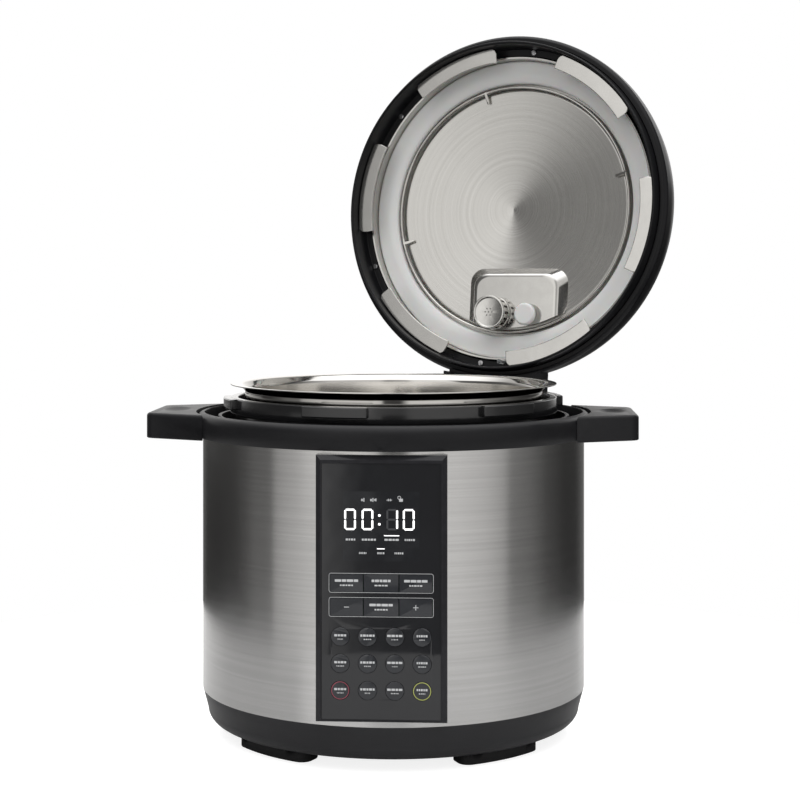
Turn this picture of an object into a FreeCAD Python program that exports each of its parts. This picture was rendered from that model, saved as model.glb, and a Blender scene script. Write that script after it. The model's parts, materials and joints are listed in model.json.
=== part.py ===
import FreeCAD, Part

import math
import os
from types import SimpleNamespace

import Sketcher

# Electric pressure cooker with a hinged, turning lid, shown with the lid open.
# Millimetres, +Z up. The origin is on the cooker's axis at the level the feet stand on.
# The control panel faces -Y, and +X is to the right of someone who looks at the panel.
# r means distance from the cooker's axis, z means height above the table.

Vector = FreeCAD.Vector
Placement = FreeCAD.Placement
Rotation = FreeCAD.Rotation

# Driving dimensions. Each one becomes a cell of the sheet "sizes" with this alias.
SIZES = {
    # feet: four pads that follow the rim of the base
    "foot_height": 8, "foot_inner": 108, "foot_outer": 130, "foot_span": 33, "foot_azimuth": 41.5,
    "foot_corner": 8,
    # base pan
    "pan_floor_radius": 131, "pan_corner": 10, "pan_wall": 3, "pan_top": 33, "spigot_height": 8,
    "spigot_wall": 2.4, "vent_length": 36, "vent_width": 4, "vent_radius": 70,
    # brushed outer shell
    "shell_radius": 145, "shell_sheet": 0.8, "shell_top": 222.4,
    # collar with the gutter that takes the lid's lip
    "collar_radius": 150, "collar_bottom": 222.6, "collar_shoulder": 234, "collar_top": 240,
    "collar_round": 6, "mouth_radius": 144.2, "gutter_outer": 143.8, "gutter_inner": 133.5,
    "gutter_floor": 225.5, "collar_inner": 131, "collar_inner_top": 237, "collar_skirt": 212,
    "rail_inner": 146.6, "rail_low": 223.8, "rail_high": 228.2, "rail_span": 68, "rail_turn": 12,
    # side handles
    "handle_reach": 184, "handle_tip_half": 39, "handle_root_angle": 24, "handle_low": 221,
    "handle_thick": 19, "handle_wall": 3.4, "handle_roof": 3.6, "handle_corner": 10,
    "arm_reach": 169, "arm_spacing": 30, "arm_half": 6, "arm_low": 227, "arm_high": 232.6,
    # enamelled outer pot
    "outer_pot_inner": 118.5, "outer_pot_sheet": 2, "outer_pot_floor": 90, "outer_pot_round": 8,
    "flange_radius": 138.5, "flange_top": 222.2, "head_radius": 124.5, "head_low": 236,
    "lug_radius": 129.5, "lug_low": 243, "lug_top": 251, "lug_span": 22, "floor_hole": 22,
    # inner pot
    "pot_radius": 113.3, "pot_sheet": 0.8, "pot_floor": 102.3, "pot_round": 8, "pot_neck": 255.5,
    "pot_rim_radius": 124.3, "pot_rim_top": 261, "pot_flare": 4,
    # heater and temperature sensor
    "heater_radius": 85, "heater_low": 95, "heater_top": 102, "heater_hole": 19, "sensor_radius": 17,
    "sensor_top": 101.9, "sensor_low": 98.4, "sensor_stem": 5, "sensor_stem_low": 80,
    "guide_radius": 30, "guide_low": 86, "guide_sheet": 2, "spring_radius": 8, "spring_wire": 1,
    # control panel
    "panel_half": 45.15, "panel_low": 37, "panel_high": 220, "panel_face": 148.6, "panel_bevel": 3.2,
    "lens_half": 40.85, "lens_low": 39.4, "lens_high": 214.4, "lens_face": 148, "lens_thick": 1.6,
    "window_half": 35.5, "window_low": 46, "window_high": 210, "shell_window_half": 41.5,
    "post_x": 38.2, "post_radius": 2.6, "board_face": 131.6, "board_thick": 1.6,
    "screen_half": 27, "screen_low": 147, "screen_high": 196,
    # keys
    "key_radius": 6.3, "key_pitch_x": 18.7, "key_pitch_z": 18.4, "key_top_row": 95.9,
    "key_proud": 0.3, "key_gap": 0.3, "key_stem": 2.5, "key_stem_end": 136.4, "bar_half_height": 6,
    "bar_upper": 132.7, "bar_lower": 116.2, "bar_divide": 12.2, "bar_end": 35.3,
    # power inlet
    "inlet_half": 19, "inlet_low": 11.5, "inlet_high": 35.5, "boss_half": 23, "boss_face": 147.5,
    # lid: closed sizes, before it is swung open
    "lip_low": 230, "lip_inner": 140, "lip_outer": 142.4, "lid_wall_radius": 149.6,
    "lid_top": 292, "lid_sheet": 2.4, "liner_floor": 255, "liner_inner": 134.2,
    "disc_radius": 105, "disc_low": 268, "steel_sheet": 1.4, "channel_top": 273.5,
    "skirt_inner": 131.4, "skirt_low": 252.6, "claw_inner": 126.2, "claw_outer": 139.2,
    "claw_low": 240, "claw_thick": 2.2, "claw_span": 35, "claw_corner": 7, "claw_turn": 8,
    "claw_web_span": 27,
    # hinge
    "hinge_radius": 174.4, "hinge_height": 230.5, "lid_opening": 96, "lid_turn": 24,
    "pin_radius": 3, "pin_bore": 3.05, "knuckle_radius": 7, "knuckle_half": 30, "bracket_half": 43,
    "ear_inner": 45, "ear_outer": 53, "ear_round": 8,
    # valves in the lid
    "vent_x": -10, "vent_y": 92, "float_x": 21, "float_y": 93, "valve_face": 260,
}

doc = FreeCAD.newDocument("electric_pressure_cooker")
nodes = []


class Size:
    """A length or angle that knows its number and the sheet formula it comes from."""

    def __init__(self, value, text):
        self.value = float(value)
        self.text = text

    def __add__(self, other):
        return Size(self.value + number(other), f"({self.text} + {formula(other)})")

    def __sub__(self, other):
        return Size(self.value - number(other), f"({self.text} - {formula(other)})")

    def __mul__(self, other):
        return Size(self.value * number(other), f"({self.text} * {formula(other)})")

    def __truediv__(self, other):
        return Size(self.value / number(other), f"({self.text} / {formula(other)})")

    def __radd__(self, other):
        return Size(other + self.value, f"({formula(other)} + {self.text})")

    def __rsub__(self, other):
        return Size(other - self.value, f"({formula(other)} - {self.text})")

    def __neg__(self):
        return Size(-self.value, f"(-1 * {self.text})")


def number(size):
    return size.value if isinstance(size, Size) else float(size)


def formula(size):
    return size.text if isinstance(size, Size) else repr(float(size))


def sized(size):
    """A plain number as a Size, so that others can be taken from it."""
    return Size(number(size), formula(size))


def polar(radius, angle):
    """The point at this radius and angle, with the angle in degrees from +X."""
    turn = math.radians(number(angle))
    x = Size(number(radius) * math.cos(turn), f"({formula(radius)} * cos({formula(angle)}))")
    y = Size(number(radius) * math.sin(turn), f"({formula(radius)} * sin({formula(angle)}))")
    return x, y


def fill_sheet():
    """Write the driving dimensions to the spreadsheet and return them by name."""
    sheet = doc.addObject("Spreadsheet::Sheet", "sizes")
    named = {}
    for row, (name, value) in enumerate(SIZES.items(), start=1):
        sheet.set(f"A{row}", name)
        sheet.set(f"B{row}", str(value))
        sheet.setAlias(f"B{row}", name)
        named[name] = Size(value, f"sizes.{name}")
    doc.recompute()
    return SimpleNamespace(**named)


d = fill_sheet()


# ---------------------------------------------------------------- building blocks

def bind(thing, path, size):
    """Tie a property to the sheet, or set it when the size is a plain number."""
    thing.setExpression(path, formula(size))


def place(thing, x, y, z):
    for axis, size in zip("xyz", (x, y, z)):
        bind(thing, f"Placement.Base.{axis}", size)


def keep(thing, label):
    """Register a finished piece under the name of its node."""
    thing.Label = label
    nodes.append(thing)
    return thing


def box(name, xs, ys, zs):
    """A block between two values on each axis."""
    block = doc.addObject("Part::Box", name)
    for path, (low, high) in zip(("Length", "Width", "Height"), (xs, ys, zs)):
        bind(block, path, sized(high) - low)
    place(block, xs[0], ys[0], zs[0])
    return block


def cylinder(name, radius, start, length, along="z"):
    """A round bar from start, running in the positive direction of one axis."""
    bar = doc.addObject("Part::Cylinder", name)
    bind(bar, "Radius", radius)
    bind(bar, "Height", length)
    turns = {"z": Rotation(), "y": Rotation(Vector(1, 0, 0), -90), "x": Rotation(Vector(0, 1, 0), 90)}
    bar.Placement = Placement(Vector(), turns[along])
    place(bar, *start)
    return bar


def fuse(name, pieces):
    union = doc.addObject("Part::MultiFuse", name)
    union.Shapes = pieces
    return union


def group(name, pieces):
    """Several separate solids kept together as one node."""
    bundle = doc.addObject("Part::Compound", name)
    bundle.Links = pieces
    return bundle


def cut(name, base, tools):
    """The base piece less all the tools."""
    difference = doc.addObject("Part::Cut", name)
    difference.Base = base
    difference.Tool = tools[0] if len(tools) == 1 else fuse(f"{name}_tools", tools)
    return difference


def common(name, first, second):
    overlap = doc.addObject("Part::Common", name)
    overlap.Base = first
    overlap.Tool = second
    return overlap


def mirrored(name, source, normal):
    twin = doc.addObject("Part::Mirroring", name)
    twin.Source = source
    twin.Normal = Vector(*normal)
    return twin


def arc_between(start, end, radius):
    """The short arc from start to end; a positive radius turns left, a negative one right."""
    side = 1 if radius > 0 else -1
    chord = end - start
    rise = math.sqrt(max(radius * radius - chord.Length ** 2 / 4, 0.0))
    left = Vector(-chord.y, chord.x, 0).normalize()
    centre = (start + end) / 2 + left * (side * rise)
    first, last = (start, end) if side > 0 else (end, start)
    angles = [math.atan2(point.y - centre.y, point.x - centre.x) for point in (first, last)]
    if angles[1] < angles[0]:
        angles[1] += 2 * math.pi
    return Part.ArcOfCircle(Part.Circle(centre, Vector(0, 0, 1), abs(radius)), *angles)


def origin_plane(body, role):
    return next(plane for plane in body.Origin.OriginFeatures if plane.Role == role)


def outline(body, name, role, points, lift=0):
    """A closed, fully dimensioned sketch. A point is (x, y) or (x, y, radius of the arc to it)."""
    sketch = body.newObject("Sketcher::SketchObject", name)
    sketch.AttachmentSupport = (origin_plane(body, role), [""])
    sketch.MapMode = "FlatFace"
    bind(sketch, "AttachmentOffset.Base.z", lift)
    corners = [Vector(number(point[0]), number(point[1]), 0) for point in points]
    count = len(points)
    ends = []
    for index in range(count):
        target = (index + 1) % count
        start, end = corners[index], corners[target]
        if len(points[target]) == 3:
            radius = number(points[target][2])
            sketch.addGeometry(arc_between(start, end, radius))
            rule = sketch.addConstraint(Sketcher.Constraint("Radius", index, abs(radius)))
            bind(sketch, f"Constraints[{rule}]", absolute(points[target][2]))
            ends.append((1, 2) if radius > 0 else (2, 1))
        else:
            sketch.addGeometry(Part.LineSegment(start, end))
            ends.append((1, 2))
    for index, point in enumerate(points):
        before = (index - 1) % count
        here = ends[index][0]
        sketch.addConstraint(Sketcher.Constraint("Coincident", before, ends[before][1], index, here))
        for kind, size, line in (("DistanceX", point[0], -2), ("DistanceY", point[1], -1)):
            if number(size) == 0:
                sketch.addConstraint(Sketcher.Constraint("PointOnObject", index, here, line))
                continue
            rule = sketch.addConstraint(Sketcher.Constraint(kind, -1, 1, index, here, number(size)))
            bind(sketch, f"Constraints[{rule}]", size)
    return sketch


def absolute(radius):
    return radius if number(radius) > 0 else Size(-number(radius), f"(-1 * {formula(radius)})")


def turned(name, points, span=None, azimuth=None):
    """A body of revolution from an r-z outline, or a sector of one centred on an azimuth."""
    body = doc.addObject("PartDesign::Body", name)
    sketch = outline(body, f"{name}_outline", "XZ_Plane", points)
    add_turned(body, name, sketch, span)
    if azimuth is not None:
        body.Placement = Placement(Vector(), Rotation(Vector(0, 0, 1), 0))
        bind(body, "Placement.Rotation.Angle", azimuth)
    return body


def add_turned(body, name, sketch, span=None):
    revolution = body.newObject("PartDesign::Revolution", f"{name}_revolution")
    revolution.Profile = sketch
    revolution.ReferenceAxis = (sketch, ["V_Axis"])
    if span is None:
        revolution.Angle = 360
    else:
        revolution.Midplane = True
        bind(revolution, "Angle", span)
    return revolution


def padded(name, role, points, lift, thickness):
    """A plate with this outline."""
    body = doc.addObject("PartDesign::Body", name)
    sketch = outline(body, f"{name}_outline", role, points, lift)
    pad = body.newObject("PartDesign::Pad", f"{name}_pad")
    pad.Profile = sketch
    bind(pad, "Length", thickness)
    return body


def repeat_round(body, features, count):
    """Repeat features round the body's Z axis."""
    pattern = body.newObject("PartDesign::PolarPattern", f"{body.Name}_pattern")
    pattern.Originals = features
    pattern.Axis = (origin_plane(body, "Z_Axis"), [""])
    pattern.Angle = 360
    pattern.Occurrences = count
    body.Tip = pattern
    return pattern


def soften(body, test, radius, kind="Fillet"):
    """Round or chamfer the edges of the body's tip that pass the test."""
    doc.recompute()
    tip = body.Tip
    names = [f"Edge{index}" for index, edge in enumerate(tip.Shape.Edges, start=1) if test(edge)]
    finish = body.newObject(f"PartDesign::{kind}", f"{body.Name}_{kind.lower()}_{len(body.Group)}")
    finish.Base = (tip, names)
    bind(finish, "Radius" if kind == "Fillet" else "Size", radius)
    return finish


def upright(edge):
    """True for a straight edge that runs along Z."""
    low, high = edge.BoundBox.ZMin, edge.BoundBox.ZMax
    return edge.BoundBox.XLength < 0.001 and edge.BoundBox.YLength < 0.001 and high - low > 0.1


def at_height(level):
    """A test for edges that lie flat at one height."""
    return lambda edge: edge.BoundBox.ZLength < 0.001 and abs(edge.BoundBox.ZMin - level) < 0.01


def screw(name, head_radius, head_height, shank_radius, length, x, y, z, upwards=True):
    """A screw whose head starts at z; its shank goes up from there, or down."""
    if upwards:
        head = cylinder(f"{name}_head", head_radius, (x, y, z), head_height)
        shank = cylinder(f"{name}_shank", shank_radius, (x, y, z), length)
    else:
        head = cylinder(f"{name}_head", head_radius, (x, y, sized(z) - head_height), head_height)
        shank = cylinder(f"{name}_shank", shank_radius, (x, y, sized(z) - length), length)
    return fuse(name, [head, shank])


def spring(name, coil_radius, wire_radius, start, length, turns, along="z"):
    """A helical spring from start along one axis."""
    helix = doc.addObject("Part::Helix", f"{name}_helix")
    bind(helix, "Radius", coil_radius)
    bind(helix, "Height", length)
    bind(helix, "Pitch", sized(length) / turns)
    wire = doc.addObject("Part::Circle", f"{name}_wire")
    bind(wire, "Radius", wire_radius)
    wire.Placement = Placement(Vector(number(coil_radius), 0, 0), Rotation(Vector(1, 0, 0), 90))
    bind(wire, "Placement.Base.x", coil_radius)
    coil = doc.addObject("Part::Sweep", name)
    coil.Sections = [wire]
    coil.Spine = (helix, [])
    coil.Solid = True
    coil.Frenet = True
    turn = {"z": Rotation(), "x": Rotation(Vector(0, 1, 0), 90)}[along]
    coil.Placement = Placement(Vector(), turn)
    place(coil, *start)
    return coil


# ---------------------------------------------------------------- base: pan, feet, shell, collar

# The power board stands on four posts this far above the underside of the pan.
BOARD_LIFT = 18
BOARD_THICK = 1.6
BOARD_SCREWS = ((-52, -14), (-52, 54), (42, -14), (42, 54))


def make_feet():
    pads = []
    for index, sign in enumerate(((-90, 1), (-90, -1), (90, 1), (90, -1))):
        azimuth = d.foot_azimuth * sign[1] + sign[0]
        points = [(d.foot_inner, 0), (d.foot_outer, 0), (d.foot_outer, d.foot_height),
                  (d.foot_inner, d.foot_height)]
        pad = turned(f"foot_{index}", points, d.foot_span, azimuth)
        soften(pad, upright, d.foot_corner)
        soften(pad, at_height(0), 1)
        pads.append(pad)
    keep(group("feet", pads), "feet")


def make_base_pan():
    floor = d.foot_height
    wall = d.pan_wall
    side = d.pan_floor_radius + d.pan_corner
    points = [
        (0, floor), (d.pan_floor_radius, floor), (side, floor + d.pan_corner, d.pan_corner),
        (d.shell_radius, d.pan_top), (d.shell_radius - 1.2, d.pan_top),
        (d.shell_radius - 1.2, d.pan_top + d.spigot_height),
        (d.shell_radius - 1.2 - d.spigot_wall, d.pan_top + d.spigot_height),
        (d.shell_radius - 1.2 - d.spigot_wall, d.pan_top - 1), (side - wall, floor + d.pan_corner),
        (d.pan_floor_radius, floor + wall, wall - d.pan_corner), (0, floor + wall),
    ]
    pan = turned("pan_bowl", points)
    posts = [cylinder(f"board_post_{x}_{y}", 4, (x, y, floor + 1), BOARD_LIFT - 1)
             for x, y in BOARD_SCREWS]
    bores = [cylinder(f"board_post_bore_{x}_{y}", 1.55, (x, y, floor + BOARD_LIFT - 8), 10)
             for x, y in BOARD_SCREWS]
    boss = box("inlet_boss", (-d.boss_half, d.boss_half), (130, d.boss_face), (floor, 39))
    slots = []
    for index in range(10):
        slot = box(f"vent_slot_{index}", (d.vent_radius, d.vent_radius + d.vent_length),
                   (-d.vent_width / 2, d.vent_width / 2), (floor - 1, floor + wall + 1))
        turn_block(slot, Placement(Vector(), Rotation(Vector(0, 0, 1), 36 * index + 18)))
        slots.append(slot)
    opening = box("inlet_opening", (-16, 16), (120, 150), (13, 34))
    body = fuse("pan_whole", [pan, *posts, boss])
    keep(cut("base_pan", body, [*slots, opening, *bores]), "base_pan")
    head = 2
    return [screw(f"base_screw_{x}_{y}", 3, head, 1.5, 9, x, y, floor + BOARD_LIFT + BOARD_THICK + head,
                  upwards=False)
            for x, y in BOARD_SCREWS]


def turn_block(block, turn):
    """Turn a block that stands where the sheet puts it; from then on its place is fixed."""
    doc.recompute()
    base = block.Placement
    for axis in "xyz":
        block.setExpression(f"Placement.Base.{axis}", None)
    block.Placement = turn.multiply(base)


def make_shell():
    points = [(d.shell_radius - d.shell_sheet, d.pan_top), (d.shell_radius, d.pan_top),
              (d.shell_radius, d.shell_top), (d.shell_radius - d.shell_sheet, d.shell_top)]
    tube = turned("shell_tube", points)
    window = box("shell_window", (-d.shell_window_half, d.shell_window_half), (-160, -100),
                 (d.window_low - 3, d.window_high + 3))
    notch = box("inlet_notch", (-d.boss_half - 0.3, d.boss_half + 0.3), (100, 160), (30, 39.3))
    keep(cut("outer_shell", tube, [window, notch]), "outer_shell")


def make_collar():
    points = [
        (d.collar_radius, d.collar_bottom), (d.collar_radius, d.collar_shoulder),
        (d.mouth_radius, d.collar_top, d.collar_round + 0.5),
        (d.gutter_outer, d.collar_top - 1), (d.gutter_outer, d.gutter_floor),
        (d.gutter_inner, d.gutter_floor), (d.gutter_inner, d.collar_inner_top),
        (d.collar_inner, d.collar_inner_top), (d.collar_inner, d.collar_bottom),
        (141.5, d.collar_bottom), (141.5, d.collar_skirt), (143.9, d.collar_skirt),
        (143.9, d.collar_bottom),
    ]
    ring = turned("collar_ring", points)
    arms = [box(f"arm_{side}_{end}", sorted_pair(side * 148, d.arm_reach * side),
                sorted_pair(d.arm_spacing * end - d.arm_half, d.arm_spacing * end + d.arm_half),
                (d.arm_low, d.arm_high))
            for side in (-1, 1) for end in (-1, 1)]
    spout = cylinder("spout", 2.4, (0, 147.8, 210), 14)
    rail = turned("rail_groove", [(d.rail_inner, d.rail_low), (153, d.rail_low),
                                  (153, d.rail_high), (d.rail_inner, d.rail_high)],
                  d.rail_span, -d.rail_turn + 90)
    drain = cylinder("drain", 1.2, (0, 147.8, 209), 21)
    inflow = cylinder("inflow", 1.2, (0, 142, 227), 5.8, along="y")
    holes = [cylinder(f"arm_hole_{side}_{end}", 1.9, (162 * side, d.arm_spacing * end, 220), 20)
             for side in (-1, 1) for end in (-1, 1)]
    holes += [cylinder(f"flange_hole_{index}", 1.6, (*flange_screw_place(index), 221), 5)
              for index in range(4)]
    mark = padded("pointer_notch", "XZ_Plane",
                  [(-1.8, d.collar_bottom + 1), (1.8, d.collar_bottom + 1), (0, d.collar_bottom + 4.2)],
                  149.3, 3)
    body = fuse("collar_whole", [ring, *arms, spout])
    keep(cut("collar", body, [rail, drain, inflow, mark, *holes]), "collar")


def sorted_pair(first, second):
    return (first, second) if number(first) < number(second) else (second, first)


def flange_screw_place(index):
    """Where the four screws that hold the outer pot under the collar stand."""
    return polar(135, 45 + 90 * index)


def make_handles():
    reach = d.handle_reach
    root_x, root_y = polar(d.collar_radius + 0.2, d.handle_root_angle)
    points = [(root_x, -root_y, -(d.collar_radius + 0.2)), (reach, -d.handle_tip_half),
              (reach, d.handle_tip_half), (root_x, root_y)]
    body = padded("handle_block", "XY_Plane", points, d.handle_low, d.handle_thick)
    soften(body, lambda edge: upright(edge) and edge.BoundBox.XMin > 180, d.handle_corner)
    top = d.handle_low + d.handle_thick
    soften(body, lambda edge: at_height(top.value)(edge) and edge.BoundBox.XMax > 151, 2.6)
    soften(body, lambda edge: at_height(d.handle_low.value)(edge) and edge.BoundBox.XMax > 151, 1)
    hollow_depth = d.handle_thick - d.handle_roof
    inner = d.collar_radius + d.handle_wall
    hollow = outline(body, "handle_hollow", "XY_Plane",
                     [(inner, -d.handle_tip_half - 10), (reach - d.handle_wall, -d.handle_tip_half + 6),
                      (reach - d.handle_wall, d.handle_tip_half - 6), (inner, d.handle_tip_half + 10)],
                     d.handle_low)
    pocket = body.newObject("PartDesign::Pocket", "handle_pocket")
    pocket.Profile = hollow
    pocket.Reversed = True
    bind(pocket, "Length", hollow_depth)
    bosses = [cylinder(f"handle_boss_{end}", 5, (162, d.arm_spacing * end, d.arm_high + 0.2), 5)
              for end in (-1, 1)]
    slots = [box(f"handle_slot_{end}", (144, 154),
                 (d.arm_spacing * end - d.arm_half - 0.3, d.arm_spacing * end + d.arm_half + 0.3),
                 (d.arm_low - 0.3, d.arm_high + 0.3)) for end in (-1, 1)]
    holes = [cylinder(f"handle_screw_hole_{end}", 1.7, (162, d.arm_spacing * end, 230), 6.3)
             for end in (-1, 1)]
    whole = fuse("handle_whole", [body, *bosses])
    right = keep(cut("right_handle", whole, [*slots, *holes]), "right_handle")
    keep(mirrored("left_handle", right, (1, 0, 0)), "left_handle")
    screws = [screw(f"handle_screw_{side}_{end}", 3.4, 2, 1.5, 11, 162 * side, d.arm_spacing * end,
                    d.arm_low - 2.1) for side in (-1, 1) for end in (-1, 1)]
    return screws


# ---------------------------------------------------------------- pots and heater

def make_outer_pot(handle_screws):
    low, sheet, inner = d.outer_pot_floor, d.outer_pot_sheet, d.outer_pot_inner
    outer, bend = inner + sheet, d.outer_pot_round
    points = [
        (d.floor_hole, low), (outer - bend, low), (outer, low + bend, bend),
        (outer, d.flange_top - sheet), (d.flange_radius, d.flange_top - sheet),
        (d.flange_radius, d.flange_top), (outer, d.flange_top), (outer, d.head_low),
        (d.head_radius, d.head_low + 3), (d.head_radius, d.lug_top), (inner, d.lug_top),
        (inner, low + bend), (outer - bend, low + sheet, sheet - bend), (d.floor_hole, low + sheet),
    ]
    body = turned("outer_pot_body", points)
    lug = outline(body, "lug_outline", "XZ_Plane",
                  [(d.head_radius - 1, d.lug_low), (d.lug_radius, d.lug_low),
                   (d.lug_radius, d.lug_top - 1), (d.lug_radius - 1, d.lug_top),
                   (d.head_radius - 1, d.lug_top)])
    tooth = add_turned(body, "lug", lug, d.lug_span)
    repeat_round(body, [tooth], 6)
    bind(body, "Placement.Rotation.Angle", d.claw_turn - d.lid_turn + 30)
    holes = [cylinder(f"pot_flange_hole_{index}", 2.2, (*flange_screw_place(index), 218), 6)
             for index in range(4)]
    keep(cut("outer_pot", body, holes), "outer_pot")
    screws = [screw(f"flange_screw_{index}", 3.2, 2, 1.5, 7, *flange_screw_place(index),
                    d.flange_top - sheet - 2.1) for index in range(4)]
    keep(group("collar_screws", handle_screws + screws), "collar_screws")


def make_inner_pot():
    low, sheet, outer, bend = d.pot_floor, d.pot_sheet, d.pot_radius, d.pot_round
    flare = d.pot_flare
    rise = 0.7
    points = [
        (0, low), (outer - bend, low), (outer, low + bend, bend), (outer, d.pot_neck),
        (outer + flare, d.pot_neck + flare, -flare), (d.pot_rim_radius, d.pot_neck + flare + rise),
        (d.pot_rim_radius, d.pot_rim_top), (outer + flare, d.pot_rim_top - rise),
        (outer - sheet, d.pot_neck - 0.1, flare + sheet + 0.3), (outer - sheet, low + bend),
        (outer - bend, low + sheet, sheet - bend), (0, low + sheet),
    ]
    keep(turned("inner_pot", points), "inner_pot")


def make_heater():
    plate = turned("heater_disc", [
        (d.heater_hole, d.heater_low), (d.heater_radius - 3, d.heater_low),
        (d.heater_radius, d.heater_low + 2), (d.heater_radius, d.heater_top - 1.5),
        (d.heater_radius - 1.5, d.heater_top), (d.heater_hole, d.heater_top)])
    legs = [cylinder(f"heater_leg_{index}", 6, (*polar(60, 90 + 120 * index),
                                                d.outer_pot_floor + d.outer_pot_sheet), 4)
            for index in range(3)]
    keep(fuse("heating_plate", [plate, *legs]), "heating_plate")


def make_sensor():
    cup = cylinder("sensor_cup", d.sensor_radius, (0, 0, d.sensor_low), d.sensor_top - d.sensor_low)
    stem = cylinder("sensor_stem", d.sensor_stem, (0, 0, d.sensor_stem_low),
                    d.sensor_low - d.sensor_stem_low + 1)
    keep(fuse("thermostat_plunger", [cup, stem]), "thermostat_plunger")
    top = d.guide_low + d.guide_sheet
    plate = turned("guide_plate", [
        (d.sensor_stem + 0.4, d.guide_low), (d.guide_radius, d.guide_low),
        (d.guide_radius, d.outer_pot_floor), (d.guide_radius - 4, d.outer_pot_floor),
        (d.guide_radius - 4, top), (d.sensor_stem + 0.4, top)])
    keep(plate, "thermostat_guide")
    length = d.sensor_low - top - d.spring_wire * 2 - 0.4
    coil = spring("thermostat_spring", d.spring_radius, d.spring_wire,
                  (0, 0, top + d.spring_wire + 0.2), length, 3)
    keep(coil, "thermostat_spring")


def make_electronics():
    switch = box("pressure_switch", (40, 66), (-9, 9), (76, d.outer_pot_floor - 0.1))
    keep(switch, "pressure_switch")
    keep(cylinder("thermal_fuse", 3, (-70, 0, 86.8), 26, along="x"), "thermal_fuse")
    board_low = d.foot_height + BOARD_LIFT
    board = box("power_board_plate", (-60, 50), (-22, 62), (board_low, board_low + BOARD_THICK))
    holes = [cylinder(f"board_hole_{x}_{y}", 1.7, (x, y, board_low - 1), 4) for x, y in BOARD_SCREWS]
    parts = [
        box("relay", (-50, -30), (-4, 12), (board_low + 1, board_low + 18)),
        box("transformer", (-10, 16), (20, 44), (board_low + 1, board_low + 20)),
        cylinder("capacitor", 6, (32, 0, board_low + 1), 21),
        box("terminal_block", (-50, -20), (36, 48), (board_low + 1, board_low + 11)),
    ]
    whole = fuse("power_board_whole", [board, *parts])
    keep(cut("power_board", whole, holes), "power_board")


def make_inlet():
    face = d.boss_face
    flange = box("inlet_flange", (-d.inlet_half, d.inlet_half), (face, face + 2),
                 (d.inlet_low, d.inlet_high))
    body = box("inlet_body", (-15.8, 15.8), (128, face + 1), (13.2, 33.8))
    cavity = box("inlet_cavity", (-12.2, 12.2), (133.5, 152), (15.5, 31.5))
    pins = [box(f"inlet_pin_{x}", (x - 1, x + 1), (132, 146), (z, z + 4))
            for x, z in ((-7, 19), (0, 23), (7, 19))]
    housing = cut("inlet_housing", fuse("inlet_block", [flange, body]), [cavity])
    keep(fuse("power_inlet", [housing, *pins]), "power_inlet")


def make_cup():
    pad = box("cup_mount_pad", (-30, 30), (142, 148.4), (164, 188))
    skin = cylinder("cup_mount_shell", d.shell_radius + 0.1, (0, 0, 160), 32)
    pegs = [cylinder(f"cup_peg_{x}", 3, (x, 146, 176), 9, along="y") for x in (-20, 20)]
    keep(cut("cup_bracket", fuse("cup_bracket_whole", [pad, *pegs]), [skin]), "cup_bracket")
    lower = box("cup_lower", (-34, 34), (150.4, 174), (158, 205))
    upper = box("cup_upper", (-34, 34), (146.2, 152), (191, 205))
    bosses = [box(f"cup_boss_{x}", (x - 6, x + 6), (151, 157.2), (170, 182)) for x in (-20, 20)]
    hollow_lower = box("cup_hollow_lower", (-32, 32), (152.6, 172), (160, 206))
    hollow_upper = box("cup_hollow_upper", (-32, 32), (148.2, 153), (193, 206))
    holes = [cylinder(f"cup_hole_{x}", 3.2, (x, 149, 176), 6.5, along="y") for x in (-20, 20)]
    walls = cut("cup_walls", fuse("cup_blank", [lower, upper]), [hollow_lower, hollow_upper])
    keep(cut("condensate_cup", fuse("cup_whole", [walls, *bosses]), holes), "condensate_cup")


# ---------------------------------------------------------------- control panel and keys

ROUND_KEYS = (
    ("rice", "biryani", "oatmeal", "meat"),
    ("soup", "steam", "cake", "yogurt"),
    ("cancel", "keep_warm", "delay", "start"),
)
BAR_KEYS = (("saute", "pressure", "slow_cook"), ("minus", "hour_minute", "plus"))


def round_key_places():
    """Each round key's name with its place on the panel."""
    for row, names in enumerate(ROUND_KEYS):
        for column, name in enumerate(names):
            yield name, d.key_pitch_x * (column - 1.5), d.key_top_row - d.key_pitch_z * row


def bar_key_places():
    """Each bar key's name with its left edge, right edge and middle height."""
    edges = ((-d.bar_end, -d.bar_divide), (-d.bar_divide, d.bar_divide), (d.bar_divide, d.bar_end))
    for names, height in zip(BAR_KEYS, (d.bar_upper, d.bar_lower)):
        for name, (left, right) in zip(names, edges):
            yield name, left, right, height


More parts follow.
